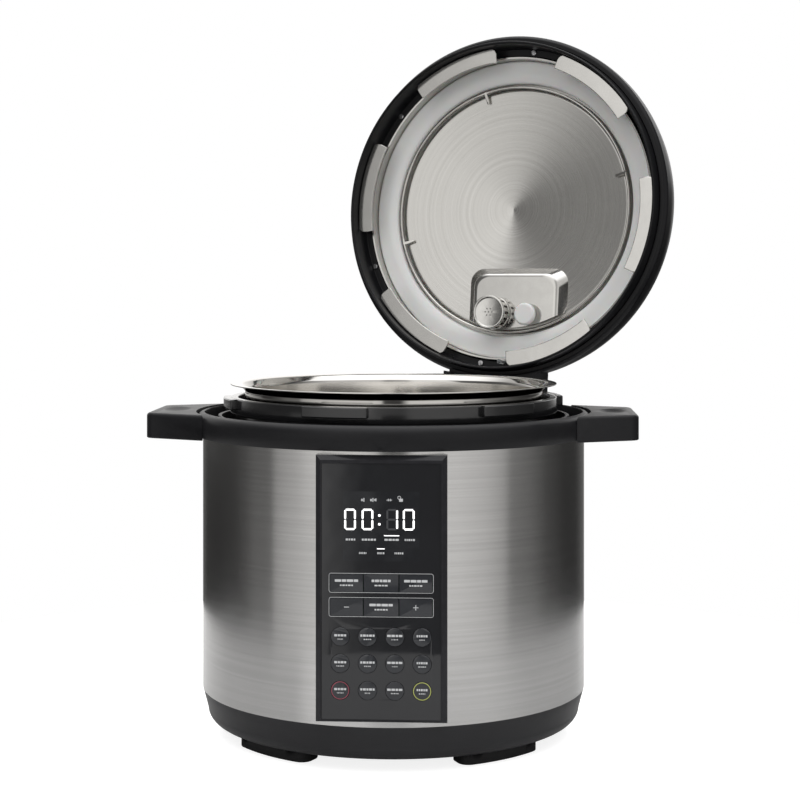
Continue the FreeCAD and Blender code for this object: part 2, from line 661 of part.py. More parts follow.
def make_panel(pan_screws):
    half, face = d.panel_half, d.panel_face
    frame = padded("frame_block", "XZ_Plane",
                   [(-half, d.panel_low), (half, d.panel_low), (half, d.panel_high),
                    (-half, d.panel_high)], face - 14, 14)
    soften(frame, lambda edge: abs(edge.BoundBox.YMax + face.value) < 0.01, d.panel_bevel, "Chamfer")
    barrel = cylinder("frame_barrel", d.shell_radius + 0.2, (0, 0, 20), 220)
    recess = box("lens_recess", (-d.lens_half - 0.15, d.lens_half + 0.15),
                 (-face - 1, -d.lens_face + d.lens_thick), (d.lens_low - 0.15, d.lens_high + 0.15))
    window = box("frame_window", (-d.window_half, d.window_half), (-160, -120),
                 (d.window_low, d.window_high))
    blank = cut("frame_blank", frame, [barrel, recess, window])
    heights = (54, 128, 202)
    posts = [cylinder(f"frame_post_{side}_{z}", d.post_radius,
                      (d.post_x * side, -143, z), 143 - d.board_face, along="y")
             for side in (-1, 1) for z in heights]
    keep(fuse("panel_frame", [blank, *posts]), "panel_frame")

    lens = box("lens_blank", (-d.lens_half, d.lens_half),
               (-d.lens_face, -d.lens_face + d.lens_thick), (d.lens_low, d.lens_high))
    holes = [cylinder(f"{name}_opening", d.key_radius + d.key_gap, (x, -150, z), 5, along="y")
             for name, x, z in round_key_places()]
    tall = d.bar_half_height + 0.3
    holes += [box(f"bar_opening_{row}", (-d.bar_end - 0.3, d.bar_end + 0.3), (-150, -145),
                  (height - tall, height + tall)) for row, height in enumerate((d.bar_upper, d.bar_lower))]
    keep(cut("panel_lens", lens, holes), "panel_lens")

    keep(box("display_module", (-d.screen_half, d.screen_half), (-146.2, -133.2),
             (d.screen_low, d.screen_high)), "display_module")

    board_back = -d.board_face + d.board_thick
    board = box("control_board_plate", (-41, 41), (-d.board_face, board_back), (48, 208))
    chips = [box("controller", (-8, 8), (board_back - 0.5, board_back + 2), (60, 76)),
             box("ribbon_socket", (-14, 14), (board_back - 0.5, board_back + 5), (185, 192)),
             box("screen_header", (-20, 20), (-133.2, -131), (150, 155))]
    keep(fuse("control_board", [board, *chips]), "control_board")
    screws = []
    for side in (-1, 1):
        for z in heights:
            name = f"panel_screw_{side}_{z}"
            screws.append(cylinder(name, 2.6, (d.post_x * side, board_back, z), 1.8, along="y"))
    keep(group("board_screws", pan_screws + screws), "board_screws")

    places = [(x, z) for _, x, z in round_key_places()]
    places += [((left + right) / 2, height) for _, left, right, height in bar_key_places()]
    switches = []
    for index, (x, z) in enumerate(places):
        can = box(f"switch_can_{index}", (x - 3, x + 3), (-135, -d.board_face), (z - 3, z + 3))
        nib = cylinder(f"switch_nib_{index}", 1.5, (x, -135.7, z), 1.2, along="y")
        switches.append(fuse(f"switch_{index}", [can, nib]))
    keep(group("key_switches", switches), "key_switches")


def make_keys():
    proud = -d.lens_face - d.key_proud
    flange_front = -d.lens_face + d.lens_thick + 0.2
    flange = 0.8
    for name, x, z in round_key_places():
        cap = cylinder(f"{name}_cap", d.key_radius, (x, proud, z), flange_front - proud + flange,
                       along="y")
        rim = cylinder(f"{name}_rim", d.key_radius + 1.1, (x, flange_front, z), flange, along="y")
        stem = cylinder(f"{name}_stem", d.key_stem, (x, flange_front, z),
                        -d.key_stem_end - flange_front, along="y")
        keep(fuse(f"{name}_key", [cap, rim, stem]), f"{name}_key")
    tall = d.bar_half_height
    for name, left, right, z in bar_key_places():
        x = (left + right) / 2
        sides = (left + 0.3, right - 0.3)
        cap = box(f"{name}_cap", sides, (proud, flange_front + flange), (z - tall, z + tall))
        rim = box(f"{name}_rim", sides, (flange_front, flange_front + flange),
                  (z - tall - 1, z + tall + 1))
        stem = cylinder(f"{name}_stem", d.key_stem, (x, flange_front, z),
                        -d.key_stem_end - flange_front, along="y")
        keep(fuse(f"{name}_key", [cap, rim, stem]), f"{name}_key")


# ---------------------------------------------------------------- hinge carrier

def make_carrier():
    block = turned("carrier_block", [(150.5, 214), (160, 214), (160, 229.3), (150.5, 229.3)], 38, 90)
    rib = turned("carrier_rib", [(147.1, 224.2), (152, 224.2), (152, 227.8), (147.1, 227.8)], 34, 90)
    ears = []
    bores = []
    for side in (-1, 1):
        xs = sorted_pair(d.ear_inner * side, d.ear_outer * side)
        ears.append(box(f"ear_{side}", xs, (147, d.hinge_radius), (216, d.hinge_height + d.ear_round)))
        ears.append(cylinder(f"ear_round_{side}", d.ear_round,
                             (xs[0], d.hinge_radius, d.hinge_height), d.ear_outer - d.ear_inner,
                             along="x"))
        bores.append(cylinder(f"ear_bore_{side}", d.pin_bore,
                              (xs[0] - 1, d.hinge_radius, d.hinge_height), 12, along="x"))
    body = fuse("carrier_whole", [block, rib, *ears])
    carrier = keep(cut("hinge_carrier", body, bores), "hinge_carrier")

    reach = d.ear_outer + 0.5
    rod = cylinder("pin_rod", d.pin_radius, (-reach, d.hinge_radius, d.hinge_height), reach * 2,
                   along="x")
    heads = [cylinder(f"pin_head_{side}", 4.6, (start, d.hinge_radius, d.hinge_height), 1.6,
                      along="x")
             for side, start in ((-1, -reach - 1.4), (1, reach - 0.2))]
    pin = keep(fuse("hinge_pin", [rod, *heads]), "hinge_pin")

    coils = [spring(f"hinge_spring_{index}", 5, 0.9, (start, d.hinge_radius, d.hinge_height), 9, 4,
                    along="x") for index, start in enumerate((-d.knuckle_half - 11.5,
                                                              d.knuckle_half + 2.5))]
    springs = keep(group("hinge_springs", coils), "hinge_springs")
    for piece in (carrier, pin, springs):
        turn_with_carrier(piece)


def carrier_turn():
    return Placement(Vector(), Rotation(Vector(0, 0, 1), -d.lid_turn.value))


def turn_with_carrier(piece):
    """Put a carrier piece, drawn at the back of the cooker, at the unlocked azimuth."""
    piece.Placement = carrier_turn()
    piece.setExpression("Placement.Rotation.Angle", "-1 * sizes.lid_turn")


def swing_open(piece):
    """Put a lid piece, drawn closed and locked, in the open pose."""
    hinge = Vector(0, d.hinge_radius.value, d.hinge_height.value)
    swing = Placement(Vector(), Rotation(Vector(1, 0, 0), -d.lid_opening.value), hinge)
    piece.Placement = carrier_turn().multiply(swing)


# ---------------------------------------------------------------- lid

def dome_outline():
    """The lid shell's outline from the rim, over the dome and back under it."""
    wall, sheet = d.lid_wall_radius, d.lid_sheet
    return [
        (143.6, 241), (147.2, 241.3), (wall, 243.7, 2.6), (wall, 256), (145.4, 274), (129, 283.6),
        (0, d.lid_top, 1300), (0, d.lid_top - sheet), (128, 281.4, -1300), (143.4, 272.8),
        (wall - sheet, 256), (wall - sheet, 243.5), (143.6, 243.2),
    ]


def make_lid_shell():
    dome = turned("lid_dome", dome_outline())
    bracket = box("bracket_block", (-d.bracket_half, d.bracket_half), (120, 167), (230.5, 258))
    under = cylinder("bracket_under", d.collar_radius + 0.7, (0, 0, 220), 21.9)
    inside = cylinder("bracket_inside", d.lid_wall_radius - d.lid_sheet + 0.2, (0, 0, 220), 60)
    arm = cut("bracket_arm", bracket, [under, inside])
    web = box("bracket_web", (-d.knuckle_half, d.knuckle_half), (160, d.hinge_radius), (230.5, 237.5))
    knuckle = cylinder("knuckle", d.knuckle_radius, (-d.knuckle_half, d.hinge_radius, d.hinge_height),
                       d.knuckle_half * 2, along="x")
    posts = [cylinder(f"lid_post_{index}", 4, (*gap_point(index, 137.3), 257.4), 18)
             for index in range(6)]
    bore = cylinder("knuckle_bore", d.pin_bore, (-60, d.hinge_radius, d.hinge_height), 120, along="x")
    vent = cylinder("dome_vent_hole", 6, (d.vent_x, d.vent_y, 270), 30)
    floater = cylinder("dome_float_hole", 3.6, (d.float_x, d.float_y, 270), 30)
    body = fuse("lid_shell_whole", [dome, arm, web, knuckle, *posts])
    swing_open(keep(cut("lid_shell", body, [bore, vent, floater]), "lid_shell"))


def gap_point(index, radius):
    """A point in the middle of the gap between two claws."""
    return polar(radius, d.claw_turn + 30 + 60 * index)


def make_lid_liner():
    floor, inner = d.liner_floor, d.liner_inner
    points = [
        (d.lip_inner, d.lip_low + 1), (d.lip_inner + 0.8, d.lip_low), (d.lip_outer - 0.4, d.lip_low),
        (d.lip_outer, d.lip_low + 0.6), (143.1, 238.5), (143.2, floor + 2.2), (inner, floor + 2.2),
        (inner, floor), (d.lip_inner, floor),
    ]
    ring = turned("liner_ring", points)
    holes = [cylinder(f"liner_hole_{index}", 1.7, (*gap_point(index, 137.3), 250), 12)
             for index in range(6)]
    swing_open(keep(cut("lid_liner", ring, holes), "lid_liner"))
    screws = [screw(f"lid_screw_{index}", 2.2, 1.4, 1.5, 3.6, *gap_point(index, 137.3), floor - 1.5)
              for index in range(6)]
    swing_open(keep(group("lid_screws", screws), "lid_screws"))
    pin_low = 239
    pin = cylinder("catch_pin_rod", 2, (4.7, 135, pin_low), floor - pin_low)
    swing_open(keep(group("lid_catch_pin", [pin]), "lid_catch_pin"))


def make_steel_lid():
    sheet, low, top = d.steel_sheet, d.disc_low, d.channel_top
    inner, outer = d.skirt_inner, d.skirt_inner + d.steel_sheet
    points = [
        (0, low), (d.disc_radius + 1, low), (d.disc_radius + 4, top), (inner, top),
        (inner, d.skirt_low), (outer, d.skirt_low), (outer, top + sheet),
        (d.disc_radius + 3, top + sheet), (d.disc_radius, low + sheet), (0, low + sheet),
    ]
    disc = turned("lid_disc", points)
    claws = []
    for index in range(6):
        azimuth = d.claw_turn + 60 * index
        claws.append(claw_plate(index, azimuth))
        claws.append(turned(f"claw_web_{index}", [
            (outer - 0.6, 253), (137.4, 249.5), (137.4, d.claw_low + 1), (d.claw_outer, d.claw_low + 1),
            (d.claw_outer, 250.4), (outer - 0.6, 254.7)], d.claw_web_span, azimuth))
    holes = [cylinder("disc_vent_hole", 5.3, (d.vent_x, d.vent_y, 262), 10),
             cylinder("disc_float_hole", 3.3, (d.float_x, d.float_y, 262), 10)]
    whole = fuse("steel_lid_whole", [disc, *claws])
    swing_open(keep(cut("steel_lid", whole, holes), "steel_lid"))


def claw_plate(index, azimuth):
    """A flat locking claw with rounded outer corners."""
    half = d.claw_span / 2
    corner = d.claw_corner
    shoulder = d.claw_outer - corner
    tip_half = half - 3
    points = [
        (*polar(d.claw_inner, -half), -d.claw_inner), polar(shoulder, -half),
        (*polar(d.claw_outer, -tip_half), corner + 1), (*polar(d.claw_outer, tip_half), d.claw_outer),
        (*polar(shoulder, half), corner + 1), polar(d.claw_inner, half),
    ]
    plate = padded(f"claw_{index}", "XY_Plane", points, d.claw_low, d.claw_thick)
    plate.Placement = Placement(Vector(), Rotation(Vector(0, 0, 1), 0))
    bind(plate, "Placement.Rotation.Angle", azimuth)
    return plate


def make_seal():
    low, top = 261.4, d.channel_top - 0.3
    seal = turned("seal_ring", [
        (111.4, 266.2), (112, 263.4), (118, low), (130, low), (131.1, low + 1.2), (131.1, top),
        (121, top), (121, 266.8), (112, 267.4)])
    swing_open(keep(seal, "seal_ring"))

    ring = doc.addObject("Part::Torus", "rack_ring")
    ring.Radius1 = 108.2
    ring.Radius2 = 1.1
    place(ring, 0, 0, 263.6)
    clips = []
    for index in range(3):
        azimuth = 164 + 90 * index
        clip = turned(f"rack_clip_{index}", [(98.5, 264.6), (108.8, 262.4), (108.8, 264), (98.5, 266.2)],
                      1.2, azimuth)
        clips.append(clip)
    swing_open(keep(fuse("seal_rack", [ring, *clips]), "seal_rack"))


def make_valves():
    face, low = d.valve_face, d.disc_low
    wide = [(-38, 56), (-30, 52), (47, 52), (54, 58), (60, 120), (-44, 120)]
    slim = [(-31, 63), (-25, 58), (41, 58), (46, 64), (51, 120), (-36, 120)]
    block = doc.addObject("PartDesign::Body", "valve_block")
    base = outline(block, "valve_base", "XY_Plane", wide, low - 0.05)
    top = outline(block, "valve_top", "XY_Plane", slim, face)
    loft = block.newObject("PartDesign::AdditiveLoft", "valve_loft")
    loft.Profile = base
    loft.Sections = [top]
    loft.Ruled = True
    soften(block, lambda edge: edge.BoundBox.ZLength > 5 and edge.BoundBox.YMax < 100, 6)
    soften(block, lambda edge: at_height(face.value)(edge) and edge.BoundBox.YMin < 100, 2.4)
    bound = cylinder("valve_bound", 104.6, (0, 0, 255), 20)
    plate = common("valve_plate_blank", block, bound)
    holes = [cylinder("plate_vent_hole", 5.2, (d.vent_x, d.vent_y, 250), 30),
             cylinder("plate_float_hole", 3.2, (d.float_x, d.float_y, 250), 30)]
    swing_open(keep(cut("valve_plate", plate, holes), "valve_plate"))

    tube = cylinder("vent_tube", 5, (d.vent_x, d.vent_y, 249), 54)
    collar = cylinder("vent_collar", 7, (d.vent_x, d.vent_y, face - 1.6), 1.5)
    bore = cylinder("vent_bore", 2, (d.vent_x, d.vent_y, 248), 60)
    swing_open(keep(cut("vent_stem", fuse("vent_whole", [tube, collar]), [bore]), "vent_stem"))

    cap = cylinder("guard_cup", 14.5, (d.vent_x, d.vent_y, 245), 14.6)
    hollow = cylinder("guard_hollow", 13.2, (d.vent_x, d.vent_y, 246.4), 20)
    hub = cylinder("guard_hub", 7.4, (d.vent_x, d.vent_y, 246), 11.6)
    hub_bore = cylinder("guard_hub_bore", 5.2, (d.vent_x, d.vent_y, 247.5), 20)
    slots = []
    for index in range(12):
        slot = box(f"guard_slot_{index}", (11, 17), (-0.9, 0.9), (249, 256))
        centre = Vector(d.vent_x.value, d.vent_y.value, 0)
        turn_block(slot, Placement(centre, Rotation(Vector(0, 0, 1), 30 * index)))
        slots.append(slot)
    shell = cut("guard_shell", cap, [hollow, *slots])
    guard = cut("vent_guard", fuse("guard_whole", [shell, hub]), [hub_bore])
    swing_open(keep(guard, "vent_guard"))

    knob = turned("knob_body", [(0, 291.6), (12, 291.6), (13.4, 293), (12.4, 307), (10.5, 309), (0, 309)])
    knob.Placement = Placement(Vector(), Rotation())
    place(knob, d.vent_x, d.vent_y, 0)
    lever = padded("knob_lever", "XY_Plane", [(0, -6), (24, -4), (24, 4, 6), (0, 6)], 299, 8)
    lever.Placement = Placement(Vector(), Rotation(Vector(0, 0, 1), 90))
    place(lever, d.vent_x, d.vent_y, 0)
    knob_bore = cylinder("knob_bore", 5.06, (d.vent_x, d.vent_y, 285), 18.6)
    knob_vent = cylinder("knob_vent", 1.5, (d.vent_x, d.vent_y, 300), 12)
    swing_open(keep(cut("steam_knob", fuse("knob_whole", [knob, lever]), [knob_bore, knob_vent]),
                    "steam_knob"))

    pin = cylinder("float_pin", 2.6, (d.float_x, d.float_y, 252.5), 38.5)
    head = cylinder("float_head", 3.2, (d.float_x, d.float_y, 288.6), 2.4)
    swing_open(keep(fuse("float_valve", [pin, head]), "float_valve"))
    rubber = turned("float_rubber", [(0, 250.6), (8.2, 250.6), (9.6, 252), (9.6, 254.4), (7, 256.9),
                                     (2.6, 256.9), (2.6, 252.5), (0, 252.5)])
    rubber.Placement = Placement(Vector(), Rotation())
    place(rubber, d.float_x, d.float_y, 0)
    swing_open(keep(common("float_cap", rubber, cylinder("float_bound", 12, (d.float_x, d.float_y, 249),
                                                         10)), "float_cap"))


def make_grip():
    half, wide = 60, 17
    bar = padded("grip_bar", "XY_Plane",
                 [(-half + wide, -wide), (half - wide, -wide), (half - wide, wide),
                  (-half + wide, wide)], 307, 12)
    ends = [cylinder(f"grip_end_{side}", wide, (side * (half - wide), 0, 307), 12) for side in (-1, 1)]
    posts = [cylinder(f"grip_post_{side}", 12, (side * (half - wide), 0, 286), 22) for side in (-1, 1)]
    dome = turned("grip_dome", [(0, 280), (128, 280), (129, 283.8), (0, d.lid_top + 0.2, 1300)])
    holes = [cylinder(f"grip_hole_{side}", 1.6, (side * (half - wide), 0, 280), 24) for side in (-1, 1)]
    whole = fuse("grip_whole", [bar, *ends, *posts])
    swing_open(keep(cut("lid_grip", whole, [dome, *holes]), "lid_grip"))


def main():
    make_feet()
    pan_screws = make_base_pan()
    make_shell()
    make_collar()
    handle_screws = make_handles()
    make_outer_pot(handle_screws)
    make_inner_pot()
    make_heater()
    make_sensor()
    make_electronics()
    make_inlet()
    make_cup()
    make_panel(pan_screws)
    make_keys()
    make_carrier()
    make_lid_shell()
    make_lid_liner()
    make_steel_lid()
    make_seal()
    make_valves()
    make_grip()
    doc.recompute()
    check_and_write()


def check_and_write():
    """Stop if anything failed, then write one STEP file for each node."""
    for thing in doc.Objects:
        failed = {"Invalid", "Error"} & set(thing.State)
        if failed:
            raise RuntimeError(f"{thing.Label}: {sorted(failed)}")
    os.makedirs("parts", exist_ok=True)
    for piece in nodes:
        shape = piece.Shape
        if shape.isNull() or not shape.isValid() or not shape.Solids:
            raise RuntimeError(f"{piece.Label} has no valid solid")
        print(f"{piece.Label}: {len(shape.Solids)} solids, {shape.Volume / 1000:.2f} cm3")
    for piece in nodes:
        piece.Shape.exportStep(os.path.join("parts", f"{piece.Label}.step"))
    print(f"{len(nodes)} nodes written")


main()
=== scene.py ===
"""Electric pressure cooker with its lid open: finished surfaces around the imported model."""

import json
import math

import bpy
from mathutils import Matrix, Vector


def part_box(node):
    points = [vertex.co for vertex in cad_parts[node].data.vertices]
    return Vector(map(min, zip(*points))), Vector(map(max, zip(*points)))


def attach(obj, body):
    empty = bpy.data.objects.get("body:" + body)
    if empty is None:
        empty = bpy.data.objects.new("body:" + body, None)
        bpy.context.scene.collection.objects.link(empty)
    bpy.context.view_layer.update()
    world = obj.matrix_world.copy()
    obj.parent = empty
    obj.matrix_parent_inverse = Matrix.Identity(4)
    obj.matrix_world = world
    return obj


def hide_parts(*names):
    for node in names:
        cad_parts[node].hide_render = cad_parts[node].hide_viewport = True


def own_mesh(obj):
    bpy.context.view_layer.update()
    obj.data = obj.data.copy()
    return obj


bl_info = {
    "name": "Electric pressure cooker",
    "version": (1, 0, 0),
    "blender": (4, 5, 0),
    "location": "View3D > Sidebar > Cooker",
    "description": "Builds the pieces, finishes and studio of an electric pressure cooker",
    "category": "Add Mesh",
}

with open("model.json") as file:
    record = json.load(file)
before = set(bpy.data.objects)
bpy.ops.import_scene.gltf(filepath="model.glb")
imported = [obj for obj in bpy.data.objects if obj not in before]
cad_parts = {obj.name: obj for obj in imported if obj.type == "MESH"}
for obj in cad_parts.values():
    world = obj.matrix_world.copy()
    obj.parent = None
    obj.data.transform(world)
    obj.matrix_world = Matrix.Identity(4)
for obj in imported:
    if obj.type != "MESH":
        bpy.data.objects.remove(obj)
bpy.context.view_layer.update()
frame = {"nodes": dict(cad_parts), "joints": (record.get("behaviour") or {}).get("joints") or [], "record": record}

MM = 0.001

# Driving sizes of the body and of the closed lid, in millimetres and degrees.
SHELL_RADIUS = 145
SHELL_LOW = 33
SHELL_HIGH = 222.4
SHELL_SHEET = 0.8
COLLAR_RADIUS = 150
LID_WALL_RADIUS = 149.6
LID_SHEET = 2.4
LID_TOP = 292
CROWN_EDGE = 129
CROWN_DROP = 8.4
SCREW_CIRCLE = 137.3
HINGE_OUT = 174.4
HINGE_UP = 230.5
DISC_LOW = 268
CLAW_TURN = 8
CLAW_SPAN = 35
CLAW_WEB_SPAN = 27
VENT_SPOT = (-10, 92)
FLOAT_SPOT = (21, 93)

# Where the studio camera stands, in metres, its turn in degrees and its lens in millimetres.
CAMERA_PLACE = (0.0798, -1.3837, 0.346)
CAMERA_TURN = 3.3
CAMERA_LENS = 81.5
CAMERA_SENSOR = 36
CAMERA_SHIFT = (0.008, -0.161)

ROUND_KEYS = (
    ("rice", "biryani", "oatmeal", "meat"),
    ("soup", "steam", "cake", "yogurt"),
    ("cancel", "keep_warm", "delay", "start"),
)
BAR_KEYS = (("saute", "pressure", "slow_cook"), ("minus", "hour_minute", "plus"))


# ---------------------------------------------------------------- where things are

def joint(name):
    """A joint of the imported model, by its name."""
    return next(j for j in frame["joints"] if j["name"] == name)


def lid_open():
    """Turns a lid piece drawn closed, with its hinge at +Y, into the open lid's place."""
    twist = math.radians(joint("lid_twist")["range_deg"][0])
    swing = math.radians(joint("lid_swing")["range_deg"][0])
    x, y, z = joint("lid_swing")["pos_m"]
    hinge = Vector((0, math.hypot(x, y), z))
    over = Matrix.Translation(hinge) @ Matrix.Rotation(swing, 4, "X") @ Matrix.Translation(-hinge)
    return Matrix.Rotation(twist, 4, "Z") @ over


# ---------------------------------------------------------------- modelling by hand

def drop_selection():
    """Leave edit mode and select nothing."""
    if bpy.context.object and bpy.context.object.mode != "OBJECT":
        bpy.ops.object.mode_set(mode="OBJECT")
    bpy.ops.object.select_all(action="DESELECT")


def pick(piece):
    """Make a piece the active one and the only one selected."""
    drop_selection()
    piece.select_set(True)
    bpy.context.view_layer.objects.active = piece


def enter(piece, kind="VERT"):
    """Open a piece in edit mode, to be selected by vertex, edge or face."""
    pick(piece)
    bpy.ops.object.mode_set(mode="EDIT")
    bpy.ops.mesh.select_mode(type=kind)


def leave():
    bpy.ops.object.mode_set(mode="OBJECT")


def choose(test, kind="VERT"):
    """In edit mode, select only the vertices, edges or faces whose middle passes the test."""
    piece = bpy.context.object
    bpy.ops.mesh.select_mode(type=kind)
    bpy.ops.mesh.select_all(action="DESELECT")
    leave()
    mesh = piece.data
    points = [v.co for v in mesh.vertices]
    if kind == "VERT":
        for vertex in mesh.vertices:
            vertex.select = test(vertex.co)
    elif kind == "EDGE":
        for edge in mesh.edges:
            edge.select = test(points[edge.vertices[0]], points[edge.vertices[1]])
    else:
        for face in mesh.polygons:
            face.select = test(face.center, face.normal)
    bpy.ops.object.mode_set(mode="EDIT")


def near(spot, reach=0.02 * MM):
    """A test for a vertex that lies at a spot."""
    return lambda co: (co - spot).length < reach


def tidy_mesh(piece, outwards=True):
    """Merge doubles and, for a mesh that spin may have turned, point its faces outwards."""
    enter(piece)
    bpy.ops.mesh.select_all(action="SELECT")
    bpy.ops.mesh.remove_doubles(threshold=0.002 * MM)
    if outwards:
        bpy.ops.mesh.normals_make_consistent(inside=False)
    leave()


def smooth(piece, angle=32, weighted=False):
    """Smooth shading with sharp edges kept; weighted lets large flat faces stay flat."""
    pick(piece)
    bpy.ops.object.shade_smooth_by_angle(angle=math.radians(angle))
    if weighted:
        evened = piece.modifiers.new("evened", "WEIGHTED_NORMAL")
        evened.keep_sharp = True
        evened.weight = 50
        apply_modifiers(piece)
    return piece


def apply_modifiers(piece):
    """Apply a piece's modifiers in their order."""
    pick(piece)
    for modifier in list(piece.modifiers):
        bpy.ops.object.modifier_apply(modifier=modifier.name)


def round_edges(piece, width, segments=3, angle=40):
    """Round the edges that are sharper than an angle; width is in millimetres."""
    bevel = piece.modifiers.new("rounded", "BEVEL")
    bevel.width = width * MM
    bevel.segments = segments
    bevel.limit_method = "ANGLE"
    bevel.angle_limit = math.radians(angle)
    bevel.harden_normals = False
    apply_modifiers(piece)


def carve(piece, cutters, operation="DIFFERENCE"):
    """Cut the cutters out of a piece, or join them to it, and remove them."""
    for cutter in cutters:
        boolean = piece.modifiers.new("carved", "BOOLEAN")
        boolean.operation = operation
        boolean.solver = "EXACT"
        boolean.object = cutter
        apply_modifiers(piece)
        bpy.data.objects.remove(cutter)


def block(name, xs, ys, zs):
    """A block between two values on each axis, in millimetres; a start or a cutter."""
    drop_selection()
    middle = [(low + high) / 2 * MM for low, high in (xs, ys, zs)]
    bpy.ops.mesh.primitive_cube_add(size=1, location=middle)
    piece = bpy.context.object
    piece.name = name
    piece.scale = [(high - low) * MM for low, high in (xs, ys, zs)]
    bpy.ops.object.transform_apply(location=True, rotation=True, scale=True)
    return piece


def rod(name, radius, middle, length, along="Z", steps=96):
    """A rod centred on a point, in millimetres; a start or a cutter."""
    drop_selection()
    turn = {"Z": (0, 0, 0), "X": (0, math.radians(90), 0)}[along]
    bpy.ops.mesh.primitive_cylinder_add(vertices=steps, radius=radius * MM, depth=length * MM,
                                        location=[part * MM for part in middle], rotation=turn)
    piece = bpy.context.object
    piece.name = name
    bpy.ops.object.transform_apply(location=True, rotation=True, scale=True)
    return piece


def profile_start(name, r, z):
    """A new object with one vertex in the XZ plane, in edit mode."""
    drop_selection()
    bpy.ops.mesh.primitive_plane_add(size=MM, location=(0, 0, 0))
    piece = bpy.context.object
    piece.name = name
    enter(piece)
    bpy.ops.mesh.select_all(action="SELECT")
    bpy.ops.mesh.merge(type="CENTER")
    bpy.ops.mesh.select_all(action="SELECT")
    bpy.ops.transform.translate(value=(r * MM, 0, z * MM))
    return piece


def turned(name, outline, steps=144, span=360, azimuth=0, segments=5):
    """A body of revolution. The closed outline's corners are (r, z) or (r, z, rounding)."""
    piece = profile_start(name, *outline[0][:2])
    spots = [Vector((corner[0] * MM, 0, corner[1] * MM)) for corner in outline]
    for here, there in zip(spots, spots[1:]):
        bpy.ops.mesh.extrude_region_move(TRANSFORM_OT_translate={"value": there - here})
    choose(lambda co: near(spots[0])(co) or near(spots[-1])(co))
    bpy.ops.mesh.edge_face_add()
    for corner, spot in zip(outline, spots):
        if len(corner) == 3:
            choose(near(spot))
            bpy.ops.mesh.bevel(offset=corner[2] * MM, segments=segments, affect="VERTICES")
    bpy.ops.mesh.select_all(action="SELECT")
    if span < 360:
        start = math.radians(azimuth + span / 2)
        leave()
        piece.data.transform(Matrix.Rotation(start, 4, "Z"))
        enter(piece)
        bpy.ops.mesh.select_all(action="SELECT")
    bpy.ops.mesh.spin(steps=steps, angle=math.radians(span), center=(0, 0, 0), axis=(0, 0, 1))
    leave()
    if span < 360:
        enter(piece)
        bpy.ops.mesh.select_all(action="SELECT")
        bpy.ops.mesh.fill_holes(sides=0)
        leave()
    tidy_mesh(piece)
    return smooth(piece)


def wrap_round(piece):
    """A UV map whose U runs round the Z axis, so that brushing can follow the turning."""
    layer = piece.data.uv_layers.new(name="turning")
    mesh = piece.data
    for face in mesh.polygons:
        middle = math.atan2(face.center.y, face.center.x)
        for index in face.loop_indices:
            co = mesh.vertices[mesh.loops[index].vertex_index].co
            angle = math.atan2(co.y, co.x) if co.xy.length > 1e-7 else middle
            if angle - middle > math.pi:
                angle -= 2 * math.pi
            elif middle - angle > math.pi:
                angle += 2 * math.pi
            layer.data[index].uv = (angle / (2 * math.pi), (co.xy.length + 0.37 * co.z) / 0.3)
    return piece


def cad_copy(node, name, bevel=0, angle=32, dissolve=False):
    """A merged, smoothed copy of a CAD node that can be worked on further."""
    source = frame["nodes"][node]
    piece = bpy.data.objects.new(name, source.data.copy())
    bpy.context.scene.collection.objects.link(piece)
    piece.data.materials.clear()
    tidy_mesh(piece, outwards=False)
    if dissolve or bevel:
        enter(piece)
        bpy.ops.mesh.select_all(action="SELECT")
        bpy.ops.mesh.dissolve_limited(angle_limit=math.radians(0.4))
        leave()
    if bevel:
        round_edges(piece, bevel)
    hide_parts(node)
    return smooth(piece, angle, weighted=True)


def swung(*pieces):
    """Move lid pieces drawn closed to the open lid's place, with the place in their mesh."""
    for piece in pieces:
        piece.matrix_world = lid_open() @ piece.matrix_world
        pick(piece)
        bpy.ops.object.transform_apply(location=True, rotation=True, scale=True)
    return pieces


def joined(pieces, name):
    """Several pieces as one object, which keeps their separate shells."""
    drop_selection()
    for piece in pieces:
        piece.select_set(True)
    bpy.context.view_layer.objects.active = pieces[0]
    bpy.ops.object.join()
    pieces[0].name = name
    return pieces[0]


def finish(piece, body, material):
    """Give a piece its material and its body."""
    piece.data.materials.clear()
    piece.data.materials.append(material)
    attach(piece, body)
    return piece


# ---------------------------------------------------------------- shared shading effects

def add_node(tree, kind, **settings):
    """A node in a tree, with its settings."""
    made = tree.nodes.new(kind)
    for key, value in settings.items():
        setattr(made, key, value)
    return made


def new_group(name, inputs, outputs):
    """A shader node group; inputs are (name, default) and outputs are (name, socket type)."""
    group = bpy.data.node_groups.new(name, "ShaderNodeTree")
    for label, default in inputs:
        kind = "NodeSocketVector" if isinstance(default, tuple) else "NodeSocketFloat"
        socket = group.interface.new_socket(name=label, in_out="INPUT", socket_type=kind)
        socket.default_value = default
    for label, kind in outputs:
        group.interface.new_socket(name=label, in_out="OUTPUT", socket_type=kind)
    return group, group.nodes.new("NodeGroupInput"), group.nodes.new("NodeGroupOutput")


def group_or_make(name, maker):
    """A shared node group by its name, made the first time it is asked for."""
    return bpy.data.node_groups.get(name) or maker(name)


def math_node(tree, operation, first, second=0.0, clamp=False):
    """A sum on two inputs, each a number or another node's output."""
    made = add_node(tree, "ShaderNodeMath", operation=operation, use_clamp=clamp)
    for socket, value in zip(made.inputs, (first, second)):
        if hasattr(value, "links"):
            tree.links.new(value, socket)
        else:
            socket.default_value = value
    return made.outputs[0]


